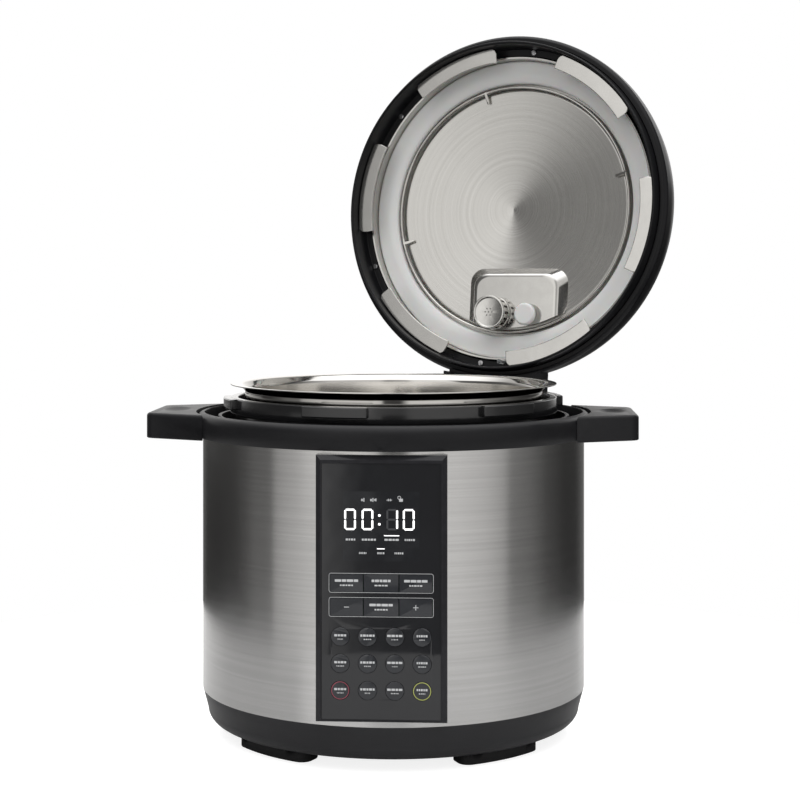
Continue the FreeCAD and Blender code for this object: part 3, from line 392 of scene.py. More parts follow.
def mix_colors(tree, factor, first, second, blend_type="MIX"):
    """A colour between two colours; each input is a number, a colour or another node's output."""
    mix = add_node(tree, "ShaderNodeMix", data_type="RGBA", blend_type=blend_type)
    sockets = [next(socket for socket in mix.inputs if socket.identifier == kind)
               for kind in ("Factor_Float", "A_Color", "B_Color")]
    for socket, value in zip(sockets, (factor, first, second)):
        if hasattr(value, "links"):
            tree.links.new(value, socket)
        else:
            socket.default_value = value
    return next(socket for socket in mix.outputs if socket.identifier == "Result_Color")


def noise_node(tree, vector, scale, detail=3.0, roughness=0.55):
    """Noise; the vector and the scale may be numbers or other nodes' outputs."""
    noise = add_node(tree, "ShaderNodeTexNoise")
    noise.inputs["Detail"].default_value = detail
    noise.inputs["Roughness"].default_value = roughness
    for socket, value in ((noise.inputs["Vector"], vector), (noise.inputs["Scale"], scale)):
        if hasattr(value, "links"):
            tree.links.new(value, socket)
        else:
            socket.default_value = value
    return noise.outputs["Fac"]


def grain_and_painted_edge_highlight(name):
    """Fine spark-eroded grain and slow cloudiness of moulded plastic or rubber, and a mask for a painted highlight
    along sharp edges.
    """
    group, given, out = new_group(
        name, (("Coordinates", (0.0, 0.0, 0.0)), ("Grain size", 900.0)),
        (("Height", "NodeSocketFloat"), ("Cloud", "NodeSocketFloat"), ("Painted edge highlight", "NodeSocketFloat")))
    fine = noise_node(group, given.outputs[0], given.outputs[1], 2.0)
    cloud = noise_node(group, given.outputs[0], 14.0, 4.0)
    coarse = noise_node(group, given.outputs[0], 160.0, 3.0)
    # A mask for a painted highlight along sharp edges, broken by coarse noise; the base colour goes lighter there.
    geometry = add_node(group, "ShaderNodeNewGeometry")
    above_flat = math_node(group, "SUBTRACT", geometry.outputs["Pointiness"], 0.53)
    edge = math_node(group, "MULTIPLY", above_flat, 9.0, clamp=True)
    painted_edge_highlight = math_node(group, "MULTIPLY", edge, coarse, clamp=True)
    group.links.new(fine, out.inputs["Height"])
    group.links.new(cloud, out.inputs["Cloud"])
    group.links.new(painted_edge_highlight, out.inputs["Painted edge highlight"])
    return group


def brushing(name):
    """Hairlines from brushing. Stretch holds how fast they change along each axis."""
    group, given, out = new_group(
        name, (("Coordinates", (0.0, 0.0, 0.0)), ("Stretch", (1.0, 1.0, 1.0))),
        (("Height", "NodeSocketFloat"), ("Streak", "NodeSocketFloat")))
    scaled = add_node(group, "ShaderNodeVectorMath", operation="MULTIPLY")
    group.links.new(given.outputs[0], scaled.inputs[0])
    group.links.new(given.outputs[1], scaled.inputs[1])
    fine = noise_node(group, scaled.outputs[0], 1.0, 5.0, 0.7)
    broad = noise_node(group, scaled.outputs[0], 0.13, 3.0, 0.6)
    group.links.new(fine, out.inputs["Height"])
    group.links.new(broad, out.inputs["Streak"])
    return group


def settled_dust(name):
    """A faint film on faces that look up, broken by noise."""
    group, given, out = new_group(name, (("Coordinates", (0.0, 0.0, 0.0)),),
                                  (("Film", "NodeSocketFloat"),))
    geometry = add_node(group, "ShaderNodeNewGeometry")
    split = add_node(group, "ShaderNodeSeparateXYZ")
    group.links.new(geometry.outputs["Normal"], split.inputs[0])
    patch = noise_node(group, given.outputs[0], 60.0, 5.0)
    up = math_node(group, "MULTIPLY", split.outputs[2], patch, clamp=True)
    group.links.new(up, out.inputs["Film"])
    return group


def handling(name):
    """Soft smears that fingers and cloths leave on gloss, as a change of roughness."""
    group, given, out = new_group(name, (("Coordinates", (0.0, 0.0, 0.0)), ("Size", 9.0)),
                                  (("Smear", "NodeSocketFloat"),))
    smear = noise_node(group, given.outputs[0], given.outputs[1], 6.0, 0.62)
    shaped = math_node(group, "MULTIPLY", math_node(group, "SUBTRACT", smear, 0.46), 3.0, clamp=True)
    group.links.new(shaped, out.inputs["Smear"])
    return group


# ---------------------------------------------------------------- materials

class Finish:
    """A material under construction: its tree, its Principled shader and Object coordinates."""

    def __init__(self, name, color, roughness, **constants):
        self.material = bpy.data.materials.new(f"{name}_finish")
        self.material.use_nodes = True
        self.tree = self.material.node_tree
        self.shader = self.tree.nodes["Principled BSDF"]
        self.coords = add_node(self.tree, "ShaderNodeTexCoord").outputs["Object"]
        self.shader.inputs["Base Color"].default_value = (*color, 1)
        self.shader.inputs["Roughness"].default_value = roughness
        for label, value in constants.items():
            self.shader.inputs[label.replace("_", " ")].default_value = value

    def effect(self, name, maker, **values):
        """Place a shared effect fed with Object coordinates and its own values."""
        made = add_node(self.tree, "ShaderNodeGroup", node_tree=group_or_make(name, maker))
        self.tree.links.new(self.coords, made.inputs["Coordinates"])
        for label, value in values.items():
            made.inputs[label.replace("_", " ")].default_value = value
        return made.outputs

    def tint(self, factor, low, high):
        """Base colour between two colours by a value that changes over the surface."""
        mixed = mix_colors(self.tree, factor, (*low, 1), (*high, 1))
        self.tree.links.new(mixed, self.shader.inputs["Base Color"])
        return mixed

    def vary(self, label, factor, low, high):
        spread = add_node(self.tree, "ShaderNodeMapRange")
        spread.inputs["To Min"].default_value = low
        spread.inputs["To Max"].default_value = high
        self.tree.links.new(factor, spread.inputs["Value"])
        self.tree.links.new(spread.outputs["Result"], self.shader.inputs[label])

    def bump(self, height, distance, strength=1.0):
        bump = add_node(self.tree, "ShaderNodeBump")
        bump.inputs["Distance"].default_value = distance
        bump.inputs["Strength"].default_value = strength
        self.tree.links.new(height, bump.inputs["Height"])
        before = self.shader.inputs["Normal"].links
        if before:
            self.tree.links.new(before[0].from_socket, bump.inputs["Normal"])
        self.tree.links.new(bump.outputs["Normal"], self.shader.inputs["Normal"])

    def along_turning(self):
        """Point the stretched highlight round the axis that the piece was turned on."""
        tangent = add_node(self.tree, "ShaderNodeTangent", direction_type="UV_MAP", uv_map="turning")
        self.tree.links.new(tangent.outputs[0], self.shader.inputs["Tangent"])


def made_once(name, maker):
    """A finish by its name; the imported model's own plain materials have the bare names."""
    return bpy.data.materials.get(f"{name}_finish") or maker(name)


def plastic(name, color, lighter, roughness, grain=900.0, depth=0.00002):
    """Moulded plastic or rubber: grain, slow clouds, a painted highlight on sharp edges and a little dust."""
    look = Finish(name, color, roughness, Specular_IOR_Level=0.2)
    grain_and_highlight_out = look.effect("Grain and painted edge highlight", grain_and_painted_edge_highlight, Grain_size=grain)
    film = look.effect("Settled dust", settled_dust)
    # Base colour goes lighter with slow clouds, with a painted highlight on sharp edges and with dust on faces
    # that look up.
    tone_dust_and_edge_highlight = math_node(look.tree, "ADD", math_node(look.tree, "MULTIPLY", grain_and_highlight_out["Cloud"], 0.45),
                     grain_and_highlight_out["Painted edge highlight"], clamp=True)
    tone_dust_and_edge_highlight = math_node(look.tree, "ADD", tone_dust_and_edge_highlight, math_node(look.tree, "MULTIPLY", film["Film"], 0.25),
                     clamp=True)
    look.tint(tone_dust_and_edge_highlight, color, lighter)
    look.vary("Roughness", grain_and_highlight_out["Cloud"], roughness - 0.05, roughness + 0.07)
    look.bump(grain_and_highlight_out["Height"], depth)
    return look.material


def charcoal_plastic(name="charcoal_plastic"):
    return plastic(name, (0.009, 0.009, 0.0105), (0.03, 0.03, 0.032), 0.38)


def pan_plastic(name="pan_plastic"):
    """The base pan's plastic: the collar's, a little paler and smoother."""
    return plastic(name, (0.026, 0.026, 0.028), (0.055, 0.055, 0.058), 0.34)


def black_plastic(name="black_plastic"):
    return plastic(name, (0.006, 0.006, 0.007), (0.02, 0.02, 0.022), 0.3)


def foot_rubber(name="foot_rubber"):
    return plastic(name, (0.01, 0.01, 0.011), (0.035, 0.035, 0.036), 0.62, 420.0, 0.00004)


def panel_frame_black(name="panel_frame_black"):
    return plastic(name, (0.014, 0.014, 0.016), (0.03, 0.03, 0.034), 0.2, 700.0, 0.000004)


def switch_plastic(name="switch_plastic"):
    return plastic(name, (0.08, 0.07, 0.06), (0.16, 0.15, 0.13), 0.5)


def steel(name, dark, light, roughness, stretch, turned_uv, anisotropy, depth):
    """Steel with hairlines; stretch says along which axes they change quickly."""
    look = Finish(name, light, roughness, Metallic=1.0, Anisotropic=anisotropy,
                  Anisotropic_Rotation=0.25)
    lines = look.effect("Brushing", brushing, Stretch=stretch)
    smear = look.effect("Handling", handling)
    look.tint(lines["Streak"], dark, light)
    total = math_node(look.tree, "ADD", math_node(look.tree, "MULTIPLY", lines["Height"], 0.6),
                      math_node(look.tree, "MULTIPLY", smear["Smear"], 0.4), clamp=True)
    look.vary("Roughness", total, roughness - 0.05, roughness + 0.07)
    look.bump(lines["Height"], depth)
    if turned_uv:
        look.along_turning()
    return look


def brushed_steel(name="brushed_steel"):
    return steel(name, (0.5, 0.495, 0.49), (0.66, 0.655, 0.645), 0.18, (25.0, 25.0, 4200.0),
                 True, 0.6, 0.0000003).material


def polished_steel(name="polished_steel"):
    return steel(name, (0.56, 0.545, 0.52), (0.7, 0.685, 0.655), 0.1, (12.0, 12.0, 2600.0),
                 False, 0.0, 0.0000002).material


def plated_screw(name="plated_screw"):
    return steel(name, (0.45, 0.45, 0.46), (0.62, 0.62, 0.63), 0.24, (900.0, 900.0, 900.0),
                 False, 0.0, 0.000001).material


def spring_steel(name="spring_steel"):
    return steel(name, (0.35, 0.35, 0.36), (0.5, 0.5, 0.51), 0.3, (300.0, 300.0, 2500.0),
                 False, 0.0, 0.000001).material


def cast_aluminium(name="cast_aluminium"):
    return steel(name, (0.45, 0.45, 0.46), (0.62, 0.62, 0.63), 0.42, (700.0, 700.0, 700.0),
                 False, 0.0, 0.000006).material


def lid_distance(look):
    """Distance from the open lid's axis, for turned marks on the lid."""
    place = lid_open()
    centre = place @ Vector((0, 0, 0))
    axis = (place.to_3x3() @ Vector((0, 0, 1))).normalized()
    away = add_node(look.tree, "ShaderNodeVectorMath", operation="SUBTRACT")
    look.tree.links.new(look.coords, away.inputs[0])
    away.inputs[1].default_value = centre
    across = add_node(look.tree, "ShaderNodeVectorMath", operation="CROSS_PRODUCT")
    look.tree.links.new(away.outputs[0], across.inputs[0])
    across.inputs[1].default_value = axis
    length = add_node(look.tree, "ShaderNodeVectorMath", operation="LENGTH")
    look.tree.links.new(across.outputs[0], length.inputs[0])
    return length.outputs["Value"]


def lid_steel(name="lid_steel"):
    """Spun steel: rings round the lid's axis, on a sheet that is dished a few degrees."""
    look = Finish(name, (0.66, 0.65, 0.625), 0.3, Metallic=1.0, Anisotropic=0.7,
                  Anisotropic_Rotation=0.25)
    radius = lid_distance(look)
    rings = add_node(look.tree, "ShaderNodeTexNoise", noise_dimensions="1D")
    rings.inputs["Scale"].default_value = 4200.0
    rings.inputs["Detail"].default_value = 4.0
    look.tree.links.new(radius, rings.inputs["W"])
    broad = add_node(look.tree, "ShaderNodeTexNoise", noise_dimensions="1D")
    broad.inputs["Scale"].default_value = 320.0
    look.tree.links.new(radius, broad.inputs["W"])
    smear = look.effect("Handling", handling, Size=16.0)
    look.tint(broad.outputs["Fac"], (0.55, 0.54, 0.515), (0.69, 0.68, 0.655))
    worn = math_node(look.tree, "ADD", math_node(look.tree, "MULTIPLY", rings.outputs["Fac"], 0.7),
                     math_node(look.tree, "MULTIPLY", smear["Smear"], 0.3))
    look.vary("Roughness", worn, 0.22, 0.33)
    slope = math.tan(bpy.context.scene.cooker_finish.lid_dish)
    dish = math_node(look.tree, "MULTIPLY", radius, slope)
    look.bump(dish, 1.0)
    look.bump(rings.outputs["Fac"], 0.0000004)
    look.along_turning()
    return look.material


def formed_steel(name="formed_steel"):
    """Bright formed sheet on the lid: claws, valve plate, rack and guard."""
    return steel(name, (0.58, 0.57, 0.545), (0.72, 0.71, 0.685), 0.17, (420.0, 420.0, 420.0),
                 False, 0.0, 0.0000012).material


def black_enamel(name="black_enamel"):
    look = Finish(name, (0.008, 0.008, 0.009), 0.16, Coat_Weight=0.6, Coat_Roughness=0.08)
    grain = look.effect("Grain and painted edge highlight", grain_and_painted_edge_highlight, Grain_size=330.0)
    look.tint(grain["Cloud"], (0.006, 0.006, 0.007), (0.02, 0.02, 0.021))
    look.vary("Roughness", grain["Height"], 0.12, 0.24)
    look.bump(grain["Height"], 0.00005)
    return look.material


def panel_gloss(name="panel_gloss"):
    look = Finish(name, (0.02, 0.02, 0.022), 0.05, IOR=1.62)
    smear = look.effect("Handling", handling, Size=14.0)
    grain = look.effect("Grain and painted edge highlight", grain_and_painted_edge_highlight, Grain_size=25.0)
    look.tint(grain["Cloud"], (0.018, 0.018, 0.02), (0.026, 0.027, 0.03))
    look.vary("Roughness", smear["Smear"], 0.025, 0.12)
    look.bump(grain["Height"], 0.00008)
    return look.material


def key_gloss(name="key_gloss"):
    look = Finish(name, (0.03, 0.032, 0.036), 0.16, IOR=1.55)
    smear = look.effect("Handling", handling, Size=70.0)
    grain = look.effect("Grain and painted edge highlight", grain_and_painted_edge_highlight, Grain_size=500.0)
    look.tint(grain["Cloud"], (0.016, 0.017, 0.02), (0.05, 0.053, 0.06))
    look.vary("Roughness", smear["Smear"], 0.1, 0.26)
    look.bump(grain["Height"], 0.00001)
    return look.material


def display_window(name="display_window"):
    look = Finish(name, (0.03, 0.032, 0.036), 0.09, IOR=1.6)
    smear = look.effect("Handling", handling, Size=40.0)
    look.tint(smear["Smear"], (0.022, 0.023, 0.026), (0.034, 0.035, 0.039))
    look.vary("Roughness", smear["Smear"], 0.05, 0.15)
    return look.material


def printed(name, color, level):
    """Printed or lit legend: a colour with a slight unevenness and a little light of its own."""
    look = Finish(name, color, 0.45, Emission_Strength=level)
    cloud = look.effect("Grain and painted edge highlight", grain_and_painted_edge_highlight, Grain_size=200.0)
    mixed = look.tint(cloud["Cloud"], tuple(part * 0.85 for part in color), color)
    look.tree.links.new(mixed, look.shader.inputs["Emission Color"])
    return look.material


# These legends are printed and nothing lights them, so their small glow is painted light.
def legend_white(name="legend_white"):
    return printed(name, (0.55, 0.56, 0.57), 0.25)


def lit_white(name="lit_white"):
    return printed(name, (1.0, 1.0, 1.0), 1.3)


def unlit_grey(name="unlit_grey"):
    return printed(name, (0.06, 0.062, 0.068), 0.0)


def ring_red(name="ring_red"):
    return printed(name, (0.32, 0.06, 0.09), 0.12)


def ring_green(name="ring_green"):
    return printed(name, (0.42, 0.45, 0.12), 0.3)


def circuit_board(name="circuit_board"):
    look = Finish(name, (0.02, 0.1, 0.045), 0.35)
    tracks = add_node(look.tree, "ShaderNodeTexBrick")
    tracks.inputs["Scale"].default_value = 260.0
    tracks.inputs["Color1"].default_value = (0.015, 0.1, 0.045, 1)
    tracks.inputs["Color2"].default_value = (0.03, 0.15, 0.07, 1)
    tracks.inputs["Mortar"].default_value = (0.06, 0.22, 0.1, 1)
    look.tree.links.new(look.coords, tracks.inputs["Vector"])
    look.tree.links.new(tracks.outputs["Color"], look.shader.inputs["Base Color"])
    look.bump(tracks.outputs["Fac"], 0.00003)
    return look.material


def clear_plastic(name="clear_plastic"):
    look = Finish(name, (0.86, 0.88, 0.9), 0.1, Transmission_Weight=0.85, IOR=1.49)
    smear = look.effect("Handling", handling, Size=30.0)
    look.tint(smear["Smear"], (0.86, 0.88, 0.9), (0.78, 0.8, 0.82))
    look.vary("Roughness", smear["Smear"], 0.06, 0.2)
    return look.material


def white_silicone(name="white_silicone"):
    look = Finish(name, (0.76, 0.77, 0.76), 0.36, Subsurface_Weight=0.15, Subsurface_Scale=0.002)
    cloud = look.effect("Grain and painted edge highlight", grain_and_painted_edge_highlight, Grain_size=600.0)
    look.tint(cloud["Cloud"], (0.9, 0.91, 0.9), (0.97, 0.97, 0.965))
    look.vary("Roughness", cloud["Cloud"], 0.28, 0.46)
    look.bump(cloud["Height"], 0.00001)
    return look.material


SLOT_MAKERS = {
    "charcoal_plastic": charcoal_plastic, "black_plastic": black_plastic, "foot_rubber": foot_rubber,
    "brushed_steel": brushed_steel, "lid_steel": formed_steel, "polished_steel": polished_steel,
    "plated_screw": plated_screw, "black_enamel": black_enamel, "cast_aluminium": cast_aluminium,
    "spring_steel": spring_steel, "panel_gloss": panel_gloss, "panel_frame_black": panel_frame_black,
    "key_gloss": key_gloss, "display_black": display_window, "circuit_board": circuit_board,
    "switch_plastic": switch_plastic, "clear_plastic": clear_plastic, "white_silicone": white_silicone,
}


def slot_material(slot):
    """The finish that stands for one of the record's material slots."""
    maker = SLOT_MAKERS[slot]
    name = maker.__defaults__[0]
    return made_once(name, maker)


def node_slot(node):
    """The record's material slot of a CAD node."""
    return next(part["material_slot"] for part in frame["record"]["subparts"] if part["node"] == node)


def finished_copy(node, name, body, bevel=0, angle=32, material=None):
    """A merged copy of a CAD node with its slot's material, riding on its body."""
    piece = cad_copy(node, name, bevel, angle)
    return finish(piece, body, material or slot_material(node_slot(node)))


# ---------------------------------------------------------------- settings

class CookerSizes(bpy.types.PropertyGroup):
    """Sizes a user would change; all are visible details finer than the CAD model."""
    legend_relief: bpy.props.FloatProperty(
        name="Legend relief", description="How far printed legends stand up", default=0.00008,
        unit="LENGTH", subtype="DISTANCE", precision=5)
    dish_depth: bpy.props.FloatProperty(
        name="Handle dish", description="Depth of the thumb dish on each handle", default=0.0026,
        unit="LENGTH", subtype="DISTANCE", precision=5)


class CookerFinish(bpy.types.PropertyGroup):
    """Colours and finish a user would change."""
    lid_dish: bpy.props.FloatProperty(
        name="Lid dish", description="How far the lid's inner sheet slopes to its centre",
        default=math.radians(9), unit="ROTATION", subtype="ANGLE")
    backdrop: bpy.props.FloatVectorProperty(
        name="Backdrop", description="Colour behind the cooker", default=(1.0, 1.0, 1.0),
        subtype="COLOR", size=3)
    studio_level: bpy.props.FloatProperty(
        name="Studio level", description="Strength of the soft boxes around the cooker", default=1.0)


class PieceOperator(bpy.types.Operator):
    """Base of the operators that build pieces."""
    bl_idname = "cooker.piece"
    bl_label = "Piece"
    bl_options = {"UNDO"}

    def execute(self, context):
        drop_selection()
        self.build(context)
        return {"FINISHED"}


# ---------------------------------------------------------------- base

class COOKER_OT_base(PieceOperator):
    """Feet, base pan, collar and power inlet"""
    bl_idname = "cooker.base"
    bl_label = "Base mouldings"

    def build(self, context):
        finished_copy("feet", "rubber_feet", "base")
        finished_copy("base_pan", "moulded_base_pan", "base",
                      material=made_once("pan_plastic", pan_plastic))
        finished_copy("collar", "moulded_collar", "base")
        finished_copy("power_inlet", "moulded_power_inlet", "base")
        finished_copy("cup_bracket", "moulded_cup_bracket", "base")


class COOKER_OT_handles(PieceOperator):
    """Two side handles with a shallow thumb dish on top"""
    bl_idname = "cooker.handles"
    bl_label = "Handles"

    def build(self, context):
        depth = context.scene.cooker_sizes.dish_depth
        for side, node in ((1, "right_handle"), (-1, "left_handle")):
            piece = cad_copy(node, f"dished_{node}", dissolve=True)
            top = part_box(node)[1].z
            drop_selection()
            bpy.ops.mesh.primitive_uv_sphere_add(segments=64, ring_count=48, radius=1)
            ball = bpy.context.object
            ball.scale = (0.019, 0.036, 0.016)
            ball.location = (side * 0.1665, 0, top + 0.016 - depth)
            bpy.ops.object.transform_apply(location=True, rotation=True, scale=True)
            carve(piece, [ball])
            smooth(piece, 30)
            finish(piece, "base", slot_material("charcoal_plastic"))


class COOKER_OT_shell(PieceOperator):
    """Brushed steel shell with its front window and the notch for the inlet"""
    bl_idname = "cooker.shell"
    bl_label = "Brushed shell"

    def build(self, context):
        inner = SHELL_RADIUS - SHELL_SHEET
        piece = turned("brushed_shell", [(inner, SHELL_LOW), (SHELL_RADIUS, SHELL_LOW),
                                         (SHELL_RADIUS, SHELL_HIGH), (inner, SHELL_HIGH)], steps=256)
        window = block("window_cutter", (-41.5, 41.5), (-160, -100), (43, 213))
        notch = block("notch_cutter", (-23.3, 23.3), (100, 160), (30, 39.3))
        carve(piece, [window, notch])
        wrap_round(piece)
        smooth(piece, 30)
        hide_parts("outer_shell")
        finish(piece, "base", slot_material("brushed_steel"))


class COOKER_OT_pots(PieceOperator):
    """Enamelled outer pot and the steel cooking pot with its rolled rim"""
    bl_idname = "cooker.pots"
    bl_label = "Pots"

    def build(self, context):
        self.enamelled_pot()
        outline = [
            (0, 102.3), (113.3, 102.3, 7), (113.3, 255.5, 0.8), (117.6, 259.8, 0.6), (123.4, 260.1),
            (124.3, 260.3, 0.15), (124.3, 261, 0.15), (117.2, 260.7, 1.4), (112.5, 256, 1.4),
            (112.5, 103.1, 6.3), (0, 103.1),
        ]
        pot = turned("cooking_pot", outline, steps=192, segments=6)
        wrap_round(pot)
        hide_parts("inner_pot")
        finish(pot, "pot", slot_material("polished_steel"))

    def enamelled_pot(self):
        """The outer pot: a deep drawn wall with a flange, and six lugs round its head."""
        wall = turned("enamelled_wall", [
            (22, 90), (120.5, 90, 8), (120.5, 220.2, 0.5), (138.5, 220.2), (138.5, 222.2), (120.5, 222.2),
            (120.5, 236, 1), (124.5, 239, 1), (124.5, 251, 1), (118.5, 251, 0.8), (118.5, 92, 6), (22, 92)],
            steps=192, segments=4)
        lugs = []
        for index in range(6):
            lug = turned(f"lug_{index}", [(123.5, 243), (129.5, 243), (129.5, 251), (123.5, 251)],
                         steps=16, span=22, azimuth=14 + 60 * index)
            round_edges(lug, 1, 3)
            lugs.append(smooth(lug, 40, weighted=True))
        pot = joined([wall, *lugs], "enamelled_pot")
        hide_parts("outer_pot")
        finish(pot, "base", slot_material("black_enamel"))


class COOKER_OT_cup(PieceOperator):
    """Clear cup that catches condensed water"""
    bl_idname = "cooker.cup"
    bl_label = "Condensate cup"

    def build(self, context):
        finished_copy("condensate_cup", "clear_cup", "cup", bevel=0.4)


# ---------------------------------------------------------------- control panel

def face_plate(name, x, z, width, height, front, relief, rounding=0.0, segments=3):
    """A thin raised plate facing -Y, in millimetres, with rounded corners."""
    drop_selection()
    bpy.ops.mesh.primitive_plane_add(size=1)
    piece = bpy.context.object
    piece.name = name
    enter(piece)
    bpy.ops.mesh.select_all(action="SELECT")
    bpy.ops.transform.resize(value=(width * MM, height * MM, 1))
    if rounding:
        bpy.ops.mesh.bevel(offset=rounding * MM, segments=segments, affect="VERTICES")
    leave()
    piece.data.transform(Matrix.Translation((x * MM, -front * MM, z * MM)) @ Matrix.Rotation(
        math.radians(90), 4, "X"))
    enter(piece, "FACE")
    bpy.ops.mesh.select_all(action="SELECT")
    bpy.ops.mesh.extrude_region_move(TRANSFORM_OT_translate={"value": (0, -relief * MM, 0)})
    bpy.ops.mesh.select_all(action="SELECT")
    bpy.ops.mesh.normals_make_consistent(inside=False)
    leave()
    return piece


def face_outline(name, x, z, width, height, front, relief, line, rounding):
    """A thin raised outline of a rounded rectangle."""
    piece = face_plate(name, x, z, width, height, front, relief, rounding, 5)
    inner = face_plate(f"{name}_inner", x, z, width - 2 * line, height - 2 * line, front + 1,
                       relief + 2, max(rounding - line, 0.1), 5)
    inner.data.transform(Matrix.Translation((0, 2 * MM, 0)))
    carve(piece, [inner])
    return piece


def face_ring(name, x, z, radius, line, front, relief):
    """A thin raised ring that faces -Y, in millimetres."""
    drop_selection()
    bpy.ops.mesh.primitive_torus_add(major_radius=radius * MM, minor_radius=line / 2 * MM,
                                     major_segments=64, minor_segments=8)
    ring = bpy.context.object
    ring.name = name
    ring.data.transform(Matrix.Translation((x * MM, -(front + relief / 2) * MM, z * MM)) @ Matrix.Rotation(
        math.radians(90), 4, "X") @ Matrix.Diagonal((1, 1, relief / line, 1)))
    return smooth(ring, 60)


# Which of the seven bars of a digit are lit: top, upper right, lower right, bottom,
# lower left, upper left, middle.
DIGIT_BARS = {"0": "abcdef", "1": "bc", "8": "abcdefg"}


def digit(name, x, z, shown, front, relief):
    """One seven-bar digit of the clock: the chosen bars as pointed plates."""
    width, height, bar, slant = 8.0, 14.6, 1.3, 0.2
    half_w, half_h = (width - bar) / 2, (height - bar) / 2
    upright = (height - bar) / 2 - 0.5
    spots = {
        "a": (0, half_h, width - bar - 0.5, bar), "d": (0, -half_h, width - bar - 0.5, bar),
        "g": (0, 0, width - bar - 0.5, bar), "b": (half_w, half_h / 2, bar, upright),
        "c": (half_w, -half_h / 2, bar, upright), "e": (-half_w, -half_h / 2, bar, upright),
        "f": (-half_w, half_h / 2, bar, upright),
    }
    bars = []
    for letter in shown:
        dx, dz, wide, tall = spots[letter]
        bars.append(face_plate(f"{name}_{letter}", x + dx, z + dz, wide, tall, front, relief,
                               bar / 2 - slant / 2, 1))
    return bars


class COOKER_OT_panel(PieceOperator):
    """Panel frame, glossy lens, clock and legends"""
    bl_idname = "cooker.panel"
    bl_label = "Control panel"

    def build(self, context):
        finished_copy("panel_frame", "bevelled_panel_frame", "base", bevel=0.5)
        finished_copy("panel_lens", "gloss_lens", "base")
        relief = context.scene.cooker_sizes.legend_relief / MM
        front = -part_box("panel_lens")[0].y / MM
        window = face_plate("display_tint", 0, 171.5, 52.4, 47.8, front, relief / 2, 0.6)
        finish(window, "base", slot_material("display_black"))
        top = front + relief / 2
        lit = []
        for index, (x, shown) in enumerate(((-21.3, "0"), (-9.35, "0"), (7.6, "1"), (18.9, "0"))):
            lit += digit(f"digit_{index}", x, 176.2, DIGIT_BARS[shown], top, relief)
        lit += [face_plate(f"colon_{z}", -1.2, z, 1.6, 1.6, top, relief, 0.5) for z in (173, 179)]
        lit += [face_plate("cooking_bar", 7.2, 165.2, 10.4, 0.6, top, relief),
                face_plate("medium_bar", -0.2, 156.2, 5.2, 0.6, top, relief)]
        finish(joined(lit, "lit_clock"), "base", made_once("lit_white", lit_white))
        ghost = digit("ghost", 7.6, 176.2, "adefg", top, relief / 4)
        finish(joined(ghost, "unlit_bars"), "base", made_once("unlit_grey", unlit_grey))
        self.legends(top, relief)
        self.outlines(front, relief)

    def legends(self, top, relief):
        """Generic dashes and pictograms in the window, in place of words."""
        marks = []
        for row, (z, spots) in enumerate(((162.4, ((-21, 6.6), (-8.4, 9.6), (7.2, 9.8), (19.6, 7))),
                                          (153.2, ((-12.6, 5), (-0.2, 4.8), (12.2, 6))))):
            for index, (x, wide) in enumerate(spots):
                marks += dashes(f"window_{row}_{index}", x, z, wide, 1.35, top, relief, index + row)
        for index, (x, wide, tall) in enumerate(((-13.1, 1.2, 1.5), (-6.9, 1.2, 1.5), (5.6, 3.8, 0.4),
                                                 (13.6, 2.6, 2.0))):
            marks.append(face_plate(f"pictogram_{index}", x, 189.5, wide, tall, top, relief, 0.15))
        for index, (x, tall) in enumerate(((-11.8, 2.6), (-5.6, 2.6), (-4.4, 1.3), (-3.6, 2.0), (5.0, 1.6),
                                           (6.4, 1.6))):
            marks.append(face_plate(f"pictogram_bar_{index}", x, 189.6, 0.7, tall, top, relief, 0.2))
        marks.append(face_ring("pictogram_lock", 12.4, 191.2, 1.0, 0.4, top, relief))
        finish(joined(marks, "window_legends"), "base", made_once("legend_white", legend_white))

    def outlines(self, front, relief):
        lines = []
        for row, z in enumerate((132.7, 116.2)):
            lines.append(face_outline(f"bar_outline_{row}", 0, z, 71.8, 13.4, front, relief, 0.28, 1.6))
        finish(joined(lines, "bar_outlines"), "base", made_once("legend_white", legend_white))


def dashes(name, x, z, width, height, front, relief, seed):
    """A word stood in for by a few small blocks of unequal width."""
    shares = ((3, 2, 3, 2), (2, 3, 2, 3, 2), (3, 3, 2, 3), (2, 2, 3, 2, 3))[seed % 4]
    gap = 0.42
    unit = (width - gap * (len(shares) - 1)) / sum(shares)
    blocks, left = [], x - width / 2
    for index, share in enumerate(shares):
        wide = share * unit
        blocks.append(face_plate(f"{name}_{index}", left + wide / 2, z, wide, height, front, relief,
                                 min(0.25, wide / 3, height / 3), 2))
        left += wide + gap
    return blocks


